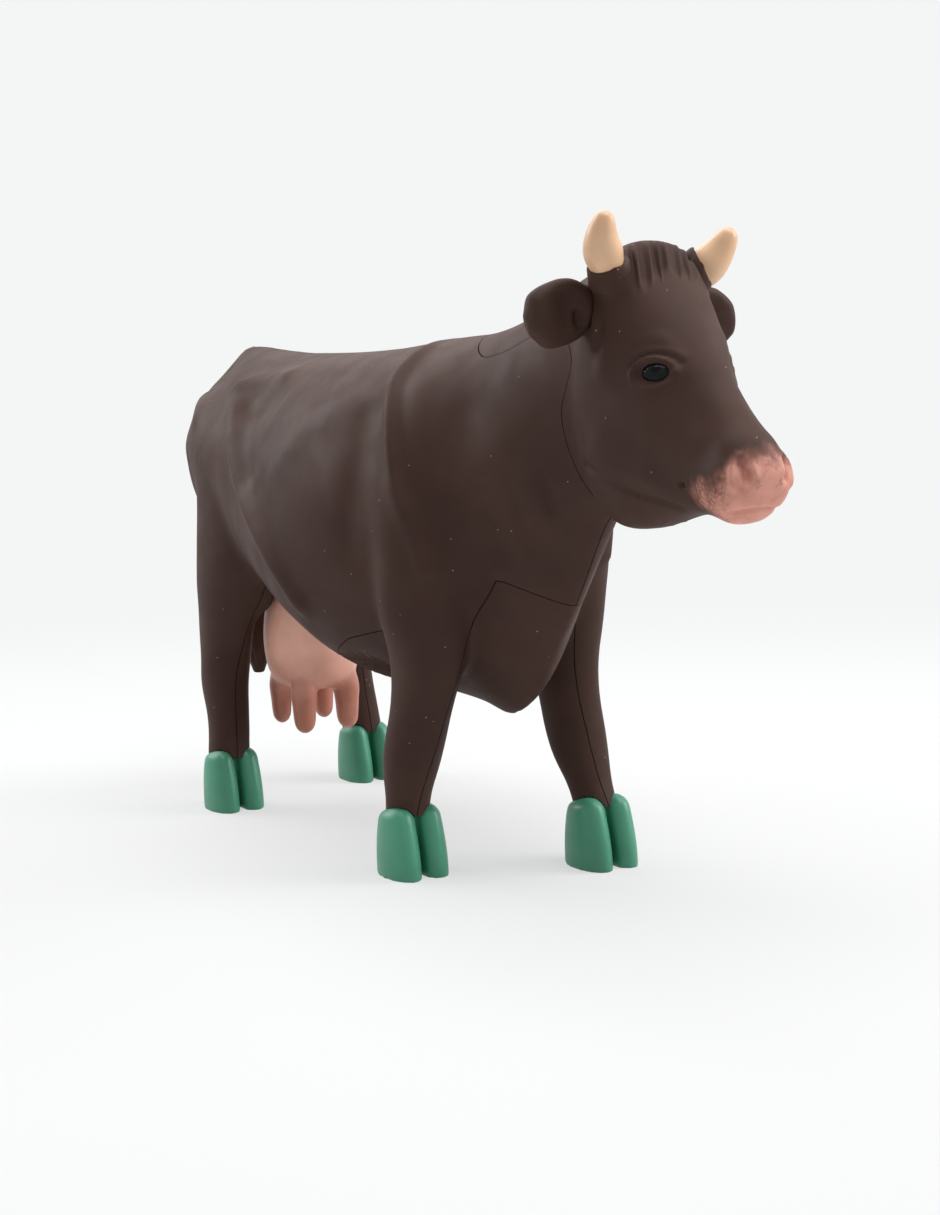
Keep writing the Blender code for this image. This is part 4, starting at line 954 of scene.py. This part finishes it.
def tail_skin(name, grow=0.0):
    return tube(name, TAIL_PATH, [thickness * TAIL_RADIUS + grow for *_, thickness in TAIL_ROWS])


def tail():
    """The tail with locks of hair in its tuft, as grooves that run down it."""
    thing = melt(tail_skin("tail_combed"), SMALL_VOXEL, 0.20 * MM * MM)
    tuft = TAIL_PATH[int(TUFT_STARTS * len(TAIL_PATH)):]
    reach = 0.95 * TAIL_RADIUS
    sculpt(thing, [(0.34 * MM, -0.30 * MM, [point + out for point in tuft])
                   for out in ring_round(Vector(), AHEAD * reach, LEFT * reach, TUFT_LOCKS)])
    return thing


# %% [markdown]
# Now the shells are parted. The head takes what lies ahead of its seam, the crest its tongue and
# the underside its core, and what is left of the body is split down the middle. A hollow takes the
# inside away, so that every shell has the wall of a real moulding.

# %% Hollows and seats
def body_rooms():
    start, end = HOLLOW_STATIONS
    thin = trunk_rings(TRUNK_SHARES[start:COLLAR_STATION], WALL)
    thick = trunk_rings(TRUNK_SHARES[COLLAR_STATION:end + 1], 2 * WALL + SEAM)
    ahead = [point + AHEAD * (NECK_REACH + MARGIN) for point in thick[-1]]
    inner = join(loft("hollow", thin + thick + [ahead]), udder_bag("groin", SEAM), tail_skin("groove", SEAM))
    return gather("rooms", [inner] + [hoof_seat(leg_name) for leg_name in LEGS])


def head_rooms():
    start, end = HEAD_HOLLOW_STATIONS
    hollow = loft("hollow", head_rings(HEAD_SHARES[start:end], WALL))
    return join(hollow, neck_core("socket", WALL, NECK_REACH + SEAM))


# %% Part the head
combine(head, head_zone(0.0), "INTERSECT")
combine(head, head_rooms(), "DIFFERENCE")
combine(head, collar_trim(SIDES["left"]), "DIFFERENCE")
for side in SIDES.values():
    combine(head, horn_sleeve(side), "UNION")
    combine(head, horn("seat", side, SEAM / 2), "DIFFERENCE")
    combine(head, ear("seat", side, SEAM), "DIFFERENCE")

# %% Part the body
combine(skin, head_zone(SEAM), "DIFFERENCE")
crest = copy_of(skin, "neck_crest_fine")
underside = copy_of(skin, "underside_shell_fine")
combine(skin, neck_core("collar", WALL + SEAM, NECK_REACH), "UNION")
combine(crest, crest_zone(0.0), "INTERSECT")
combine(skin, crest_zone(SEAM), "DIFFERENCE")
combine(underside, underside_zone(0.0), "INTERSECT")
combine(skin, underside_zone(SEAM), "DIFFERENCE")
for shell in (skin, underside):
    combine(shell, body_rooms(), "DIFFERENCE")
room = Vector((BODY_LENGTH, BARREL_WIDTH, BACK_HEIGHT + HEAD_HEIGHT))
shells = {}
for word, side in SIDES.items():
    half = block("half", Vector((-room.x, side * SEAM / 2, -room.z)), Vector((room.x, side * room.y, room.z)))
    shells[word] = combine(copy_of(skin, "body_shell_%s_fine" % word), half, "INTERSECT")
bpy.data.objects.remove(skin, do_unlink=True)
for thing in (head, crest, underside, *shells.values()):
    print(thing.name, len(thing.data.polygons), "faces")

# %% [markdown]
# The eye beads are almonds of the same size as the opening between the lids. Each is turned to lie
# in the skin, which was measured before the lids were raised, and stands a little proud of it.

# %% Eyes and the loose pieces
def eye(name, side):
    place, normal = EYE_SEATS[side]
    bead = ball(name, Vector(), Vector((EYE_HALF_LENGTH, EYE_HALF_DEPTH, EYE_HALF_HEIGHT)))
    along = UP.cross(normal).normalized()
    lie = Matrix((along, normal, along.cross(normal))).transposed().to_4x4()
    bead.data.transform(Matrix.Translation(place - normal * (EYE_HALF_DEPTH - EYE_PROUD[side])) @ lie)
    return face_outward(bead)


eyes = {word: eye("eye_%s_bead" % word, side) for word, side in SIDES.items()}
horns = {word: horn("horn_%s_fine" % word, side) for word, side in SIDES.items()}
ears = {word: ear_sculpted("ear_%s_fine" % word, side) for word, side in SIDES.items()}
hooves = {leg_name: hoof("hoof_%s_fine" % leg_name, leg_name) for leg_name in LEGS}
bag = udder()
switch = tail()


# %% [markdown]
# Finishes come next. All are built from a few helpers: a noise in object space, a ramp that turns
# it into a mask, and a mix between two colours. Object space is the same for every piece here,
# because each one keeps its origin at the origin of the figure, so patterns run on across seams.
# A helper takes the sockets that it builds on, and each socket knows the node tree it is in.

# %% Helpers for finishes
def feed(socket, value):
    """Link a socket to another one, or set it to a number, a colour or a point."""
    if isinstance(value, bpy.types.NodeSocket):
        socket.id_data.links.new(value, socket)
    else:
        socket.default_value = (*value, 1) if socket.type == "RGBA" else value


def add_node(tree, kind, inputs, **settings):
    """A new node with its settings, and its inputs by name or number."""
    node = tree.nodes.new("ShaderNode" + kind)
    for name, value in settings.items():
        setattr(node, name, value)
    for name, value in inputs.items():
        feed(node.inputs[name], value)
    return node


def noise(place, grain, detail=3.0):
    """Noise whose patches are about the given size, in metres."""
    inputs = {"Vector": place, "Scale": 1 / grain, "Detail": detail}
    return add_node(place.id_data, "TexNoise", inputs).outputs["Fac"]


def ramp(value, low, high, start=0.0, end=1.0):
    inputs = {"Value": value, "From Min": low, "From Max": high, "To Min": start, "To Max": end}
    return add_node(value.id_data, "MapRange", inputs, interpolation_type="SMOOTHSTEP").outputs["Result"]


def blend(mask, below, above):
    """Mix two colours; each is a tuple or a socket."""
    inputs = {"Factor": mask, 6: below, 7: above}
    return add_node(mask.id_data, "Mix", inputs, data_type="RGBA").outputs[2]


def work_out(operation, first, second):
    return add_node(first.id_data, "Math", {0: first, 1: second}, operation=operation).outputs[0]


def add(first, second):
    return work_out("ADD", first, second)


def times(first, second):
    return work_out("MULTIPLY", first, second)


def new_finish(name, colour, roughness, shine):
    material = bpy.data.materials.new(name)
    material.use_nodes = True
    shader = material.node_tree.nodes["Principled BSDF"].inputs
    feed(shader["Base Color"], colour)
    feed(shader["Roughness"], roughness)
    feed(shader["Specular IOR Level"], shine)
    return material, shader, material.node_tree.nodes.new("ShaderNodeTexCoord").outputs["Object"]


# %% [markdown]
# Moulded plastic is never quite even: the colour clouds a little, the gloss varies where hands
# have rubbed it, and pale dust sits on a dark toy. The dust is a sparse point pattern: one point
# in each cell of a cell texture, kept only where the cell's own random value is high.

# %% Moulded plastic
DUST = (0.42, 0.37, 0.33)
DUST_CELL = 2.2 * MM
DUST_RADIUS_SHARE = 0.070
BROWN = (0.0550, 0.0286, 0.0219)
BROWN_SHINE = 0.11
BROWN_ROUGHNESS = 0.58


def dust_mask(place, kept):
    """One on the specks of dust; kept is the share of cells that have one."""
    cells = add_node(place.id_data, "TexVoronoi", {"Vector": place, "Scale": 1 / DUST_CELL}).outputs
    chance = add_node(place.id_data, "SeparateColor", {"Color": cells["Color"]}).outputs["Red"]
    near = ramp(cells["Distance"], DUST_RADIUS_SHARE * 0.5, DUST_RADIUS_SHARE, 1.0, 0.0)
    return times(near, work_out("GREATER_THAN", chance, 1 - kept))


def moulded(name, colour, roughness, cloud=0.14, dusty=0.5, shine=0.5):
    """A clouded plastic; it gives its colour back too, for a finish that is sprayed over it."""
    material, shader, place = new_finish(name, colour, roughness, shine)
    darker, lighter = (tuple(value * share for value in colour) for share in (1 - cloud, 1 + cloud))
    base = blend(ramp(noise(place, 14 * MM), 0.3, 0.7), darker, lighter)
    base = blend(times(dust_mask(place, dusty * 0.7), dusty), base, DUST)
    feed(shader["Base Color"], base)
    feed(shader["Roughness"], ramp(noise(place, 5 * MM), 0.3, 0.7, roughness - 0.05, roughness + 0.05))
    grain = {"Height": noise(place, 0.35 * MM, 2.0), "Strength": 0.12, "Distance": 0.03 * MM}
    feed(shader["Normal"], add_node(place.id_data, "Bump", grain).outputs["Normal"])
    return material, shader, place, base


brown = moulded("brown_plastic", BROWN, BROWN_ROUGHNESS, shine=BROWN_SHINE)[0]
teal = moulded("teal_plastic", (0.055, 0.270, 0.165), 0.42, 0.10)[0]

# %% [markdown]
# The muzzle is sprayed pink over the brown. A spray has no hard edge: it thins out, and where
# the mask lifts it breaks into speckles. A plane through the bridge and the chin gives the
# paint's border, a bulge carries it back to the corner of the mouth, and noise breaks it up.

# %% Head with its sprayed muzzle
PAINT_BRIDGE = (0.890, 0.0, 0.262)
PAINT_CHIN = (0.690, 0.0, 0.020)
MOUTH_CORNER = (0.670, 0.33, 0.150)
PINK = (0.640, 0.308, 0.244)
PINK_WORN = (0.545, 0.246, 0.190)
# the darker pink below, and the place it is put, are painted shade in the nostril's pit
PINK_PIT_SHADE = (0.500, 0.212, 0.162)
MIST = (0.290, 0.128, 0.099)
NOSTRIL = (0.876, 0.215, 0.205)
NOSTRIL_PIT_SHADE = (0.884, 0.180, 0.205)
SMUDGE = (0.905, 0.093, 0.172)


def vector_maths(operation, result, first, constant):
    return add_node(first.id_data, "VectorMath", {0: first, 1: constant}, operation=operation).outputs[result]


def spot(place, centre, inner, outer):
    """One inside the inner radius of a point on either side, fading to zero at the outer."""
    parts = add_node(place.id_data, "SeparateXYZ", {0: place}).outputs
    mirrored = {"X": parts["X"], "Y": work_out("ABSOLUTE", parts["Y"], 0.0), "Z": parts["Z"]}
    mirrored = add_node(place.id_data, "CombineXYZ", mirrored).outputs[0]
    return ramp(vector_maths("DISTANCE", "Value", mirrored, centre), inner, outer, 1.0, 0.0)


head_finish, shader, place, base = moulded("brown_plastic_with_pink_muzzle", BROWN, BROWN_ROUGHNESS,
                                           shine=BROWN_SHINE)
bridge, chin = head_point(PAINT_BRIDGE), head_point(PAINT_CHIN)
ahead = (bridge - chin).cross(-LEFT).normalized()
beyond = vector_maths("DOT_PRODUCT", "Value", vector_maths("SUBTRACT", "Vector", place, bridge), ahead)
beyond = add(beyond, times(spot(place, head_point(MOUTH_CORNER), 1.0 * MM, 4.8 * MM), 3.0 * MM))
beyond = add(beyond, times(spot(place, head_point(NOSTRIL), 0.6 * MM, 2.8 * MM), 1.2 * MM))
cloudy = add(beyond, ramp(noise(place, 1.6 * MM, 4.0), 0.30, 0.70, -0.6 * MM, 0.6 * MM))
misty = ramp(cloudy, -2.4 * MM, 0.6 * MM, 0.0, 0.90)
# the speckles are strong by the mouth and faint over the bridge
speckled = ramp(noise(place, 0.42 * MM, 2.0), 0.25, 0.75, -0.9 * MM, 0.9 * MM)
mouth_side = spot(place, head_point(MOUTH_CORNER), 3.5 * MM, 7.5 * MM)
speckled = times(speckled, ramp(mouth_side, 0.0, 1.0, 0.35, 1.0))
painted = ramp(add(cloudy, speckled), -0.7 * MM, 1.9 * MM)
nose = blend(ramp(noise(place, 2.2 * MM, 4.0), 0.40, 0.75), PINK, PINK_WORN)
# painted shade: the nostril's pit is made a darker pink, as shade in the hollow
nose = blend(spot(place, head_point(NOSTRIL_PIT_SHADE), 0.3 * MM, 1.2 * MM), nose, PINK_PIT_SHADE)
smudge = times(spot(place, head_point(SMUDGE), 0.2 * MM, 1.1 * MM),
               ramp(noise(place, 0.45 * MM), 0.40, 0.60, 0.0, 0.6))
nose = blend(smudge, nose, MIST)
feed(shader["Base Color"], blend(painted, blend(misty, base, MIST), nose))

# %% [markdown]
# The udder is pink, with painted shade that makes it a little darker and warmer towards the teats.
# The horns are cream with a faint tan bloom at the tips. The eye is black enamel with a slate iris
# low in it. A low roughness gives it the small sharp lights that make it look wet.

# %% Udder, horns and eyes
# the low pink is painted shade, for the underside of the bag and the teats
PINK_SHADED_LOW, PINK_HIGH = (0.450, 0.162, 0.104), (0.980, 0.530, 0.410)
CREAM, CREAM_TIP = (0.770, 0.490, 0.300), (0.690, 0.410, 0.240)
SLATE_DARK, SLATE = (0.004, 0.007, 0.007), (0.012, 0.018, 0.018)
BLACK, PUPIL = (0.006, 0.005, 0.005), (0.003, 0.003, 0.003)


def graded(name, low_colour, high_colour, low_z, high_z, roughness):
    """A plastic whose colour drifts from one height to another."""
    material, shader, place, _ = moulded(name, high_colour, roughness, 0.05, 0.0)
    height = ramp(add_node(place.id_data, "SeparateXYZ", {0: place}).outputs["Z"], low_z, high_z)
    cloud = ramp(noise(place, 6 * MM), 0.3, 0.7, -0.12, 0.12)
    feed(shader["Base Color"], blend(add(height, cloud), low_colour, high_colour))
    return material


# painted shade: the udder's pink darkens from the bag down to the teats, as shade under the body
pink = graded("pink_plastic", PINK_SHADED_LOW, PINK_HIGH, UDDER_TOP.z - 23 * MM, UDDER_TOP.z - 11 * MM, 0.45)
horn_top = head_point(HORN_TIP[-1]).z
cream = graded("cream_plastic", CREAM, CREAM_TIP, horn_top - 4 * MM, horn_top, 0.38)

eye_finish, shader, place = new_finish("eye_enamel", BLACK, 0.12, 0.08)
eye_front = EYE_SEATS[1][0] + EYE_SEATS[1][1] * EYE_PROUD[-1]
iris = spot(place, eye_front + Vector((0.35, 0, -0.20)) * MM, 1.20 * MM, 1.50 * MM)
pupil = spot(place, eye_front + Vector((0.30, 0, 0.62)) * MM, 0.74 * MM, 0.92 * MM)
mottle = blend(noise(place, 0.5 * MM), SLATE_DARK, SLATE)
feed(shader["Base Color"], blend(pupil, blend(iris, BLACK, mottle), PUPIL))

# %% [markdown]
# Every piece is given its finish, its smooth shading and the body it rides on, and the node of the
# frame that it stands for is hidden. One function does them all.

# %% Hand each piece over
SMOOTH_BELOW_DEGREES = 38


def hand_over(thing, node, material):
    thing.data.materials.clear()
    thing.data.materials.append(material)
    thing.data.shade_smooth()
    thing.data.set_sharp_from_angle(angle=math.radians(SMOOTH_BELOW_DEGREES))
    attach(thing, "root")
    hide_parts(node)


hand_over(head, "head_shell", head_finish)
hand_over(crest, "neck_crest", brown)
hand_over(underside, "underside_shell", brown)
hand_over(switch, "tail", brown)
hand_over(bag, "udder", pink)
for word in SIDES:
    hand_over(shells[word], "body_shell_" + word, brown)
    hand_over(ears[word], "ear_" + word, brown)
    hand_over(horns[word], "horn_" + word, cream)
    hand_over(eyes[word], "eye_" + word, eye_finish)
for leg_name, thing in hooves.items():
    hand_over(thing, "hoof_" + leg_name, teal)

# %% [markdown]
# The picture shows the toy on white, in soft light from above. A floor that is lit by lamps
# alone would leave a grey horizon, so to the camera the floor turns into plain white with
# distance, while close to the hooves it keeps their shadow. The world does the same for the sky.

# %% Floor and world
BACKGROUND = (0.905, 0.915, 0.915)
PAPER = (0.72, 0.72, 0.72)
AMBIENT = 0.16


def show_background(tree, light, plain, output, where=1.0):
    """Light with one shader, and show the plain one to the camera, mirrors and glass."""
    rays = add_node(tree, "LightPath", {}).outputs
    seen = work_out("MAXIMUM", rays["Is Camera Ray"], rays["Is Glossy Ray"])
    seen = times(work_out("MAXIMUM", seen, rays["Is Transmission Ray"]), where)
    mixed = add_node(tree, "MixShader", {0: seen, 1: light.outputs[0], 2: plain.outputs[0]})
    add_node(tree, output, {"Surface": mixed.outputs[0]})


floor = mesh_object("floor", [(-3, -3, 0), (3, -3, 0), (3, 3, 0), (-3, 3, 0)], [(0, 1, 2, 3)])
paper = bpy.data.materials.new("studio_paper")
paper.use_nodes = True
tree = paper.node_tree
tree.nodes.clear()
place = tree.nodes.new("ShaderNodeTexCoord").outputs["Object"]
far_away = ramp(vector_maths("DISTANCE", "Value", place, (0, 0, 0)), 0.10, 0.42, 0.62, 1.0)
show_background(tree, add_node(tree, "BsdfDiffuse", {"Color": PAPER}),
                add_node(tree, "Emission", {"Color": BACKGROUND}), "OutputMaterial", far_away)
floor.data.materials.append(paper)

world = bpy.data.worlds.new("studio")
bpy.context.scene.world = world
world.use_nodes = True
tree = world.node_tree
tree.nodes.clear()
show_background(tree, add_node(tree, "Background", {"Color": (1, 1, 1), "Strength": AMBIENT}),
                add_node(tree, "Background", {"Color": BACKGROUND}), "OutputWorld")

# %% Lamps
LOOK_AT = UP * 0.5 * BACK_HEIGHT
# place, size and power
LAMPS = {
    "top_softbox": ((0.08, 0.04, 0.60), 0.50, 3.3),
    "rear_right_softbox": ((-0.45, -0.28, 0.35), 0.35, 1.8),
    "rear_top_softbox": ((-0.40, 0.05, 0.50), 0.35, 1.0),
    "left_softbox": ((0.30, 0.50, 0.35), 0.35, 2.9),
    "front_fill": ((0.45, -0.35, 0.25), 0.45, 0.15),
}
for name, (place, size, power) in LAMPS.items():
    light = bpy.data.lights.new(name, "AREA")
    light.size = size
    light.energy = power
    thing = bpy.data.objects.new(name, light)
    bpy.context.collection.objects.link(thing)
    thing.location = place
    thing.rotation_euler = (LOOK_AT - thing.location).to_track_quat("-Z", "Y").to_euler()
print("lamps:", ", ".join(LAMPS))

# %% [markdown]
# The camera stands where the photographer's did, worked out from straight edges in the picture:
# about 30 cm away, low, and turned well towards the head. The lens follows from the picture's
# height, which is 1215 pixels, and a focal length of 1900 of them.

# %% Camera
PICTURE_HEIGHT = 1215
FOCAL_PIXELS = 1900
CAMERA_PLACE = Vector((255.65, -146.10, 71.78)) * MM
YAW, PITCH, ROLL = (math.radians(value) for value in (30.44, 6.477, -1.944))
camera = bpy.data.cameras.new("camera")
camera.sensor_fit = "VERTICAL"
camera.sensor_width = camera.sensor_height = 36
camera.lens = FOCAL_PIXELS * camera.sensor_height / PICTURE_HEIGHT
camera.clip_start = 10 * MM
stand = bpy.data.objects.new("camera", camera)
bpy.context.collection.objects.link(stand)
back = Vector((math.cos(YAW) * math.cos(PITCH), -math.sin(YAW) * math.cos(PITCH), math.sin(PITCH)))
level = UP.cross(back).normalized()
rise = back.cross(level)
right = math.cos(ROLL) * level + math.sin(ROLL) * rise
up = math.cos(ROLL) * rise - math.sin(ROLL) * level
stand.matrix_world = Matrix.Translation(CAMERA_PLACE) @ Matrix((right, up, back)).transposed().to_4x4()
bpy.context.scene.camera = stand
bpy.context.scene.view_settings.view_transform = "Standard"
print("lens: %.1f mm" % camera.lens)
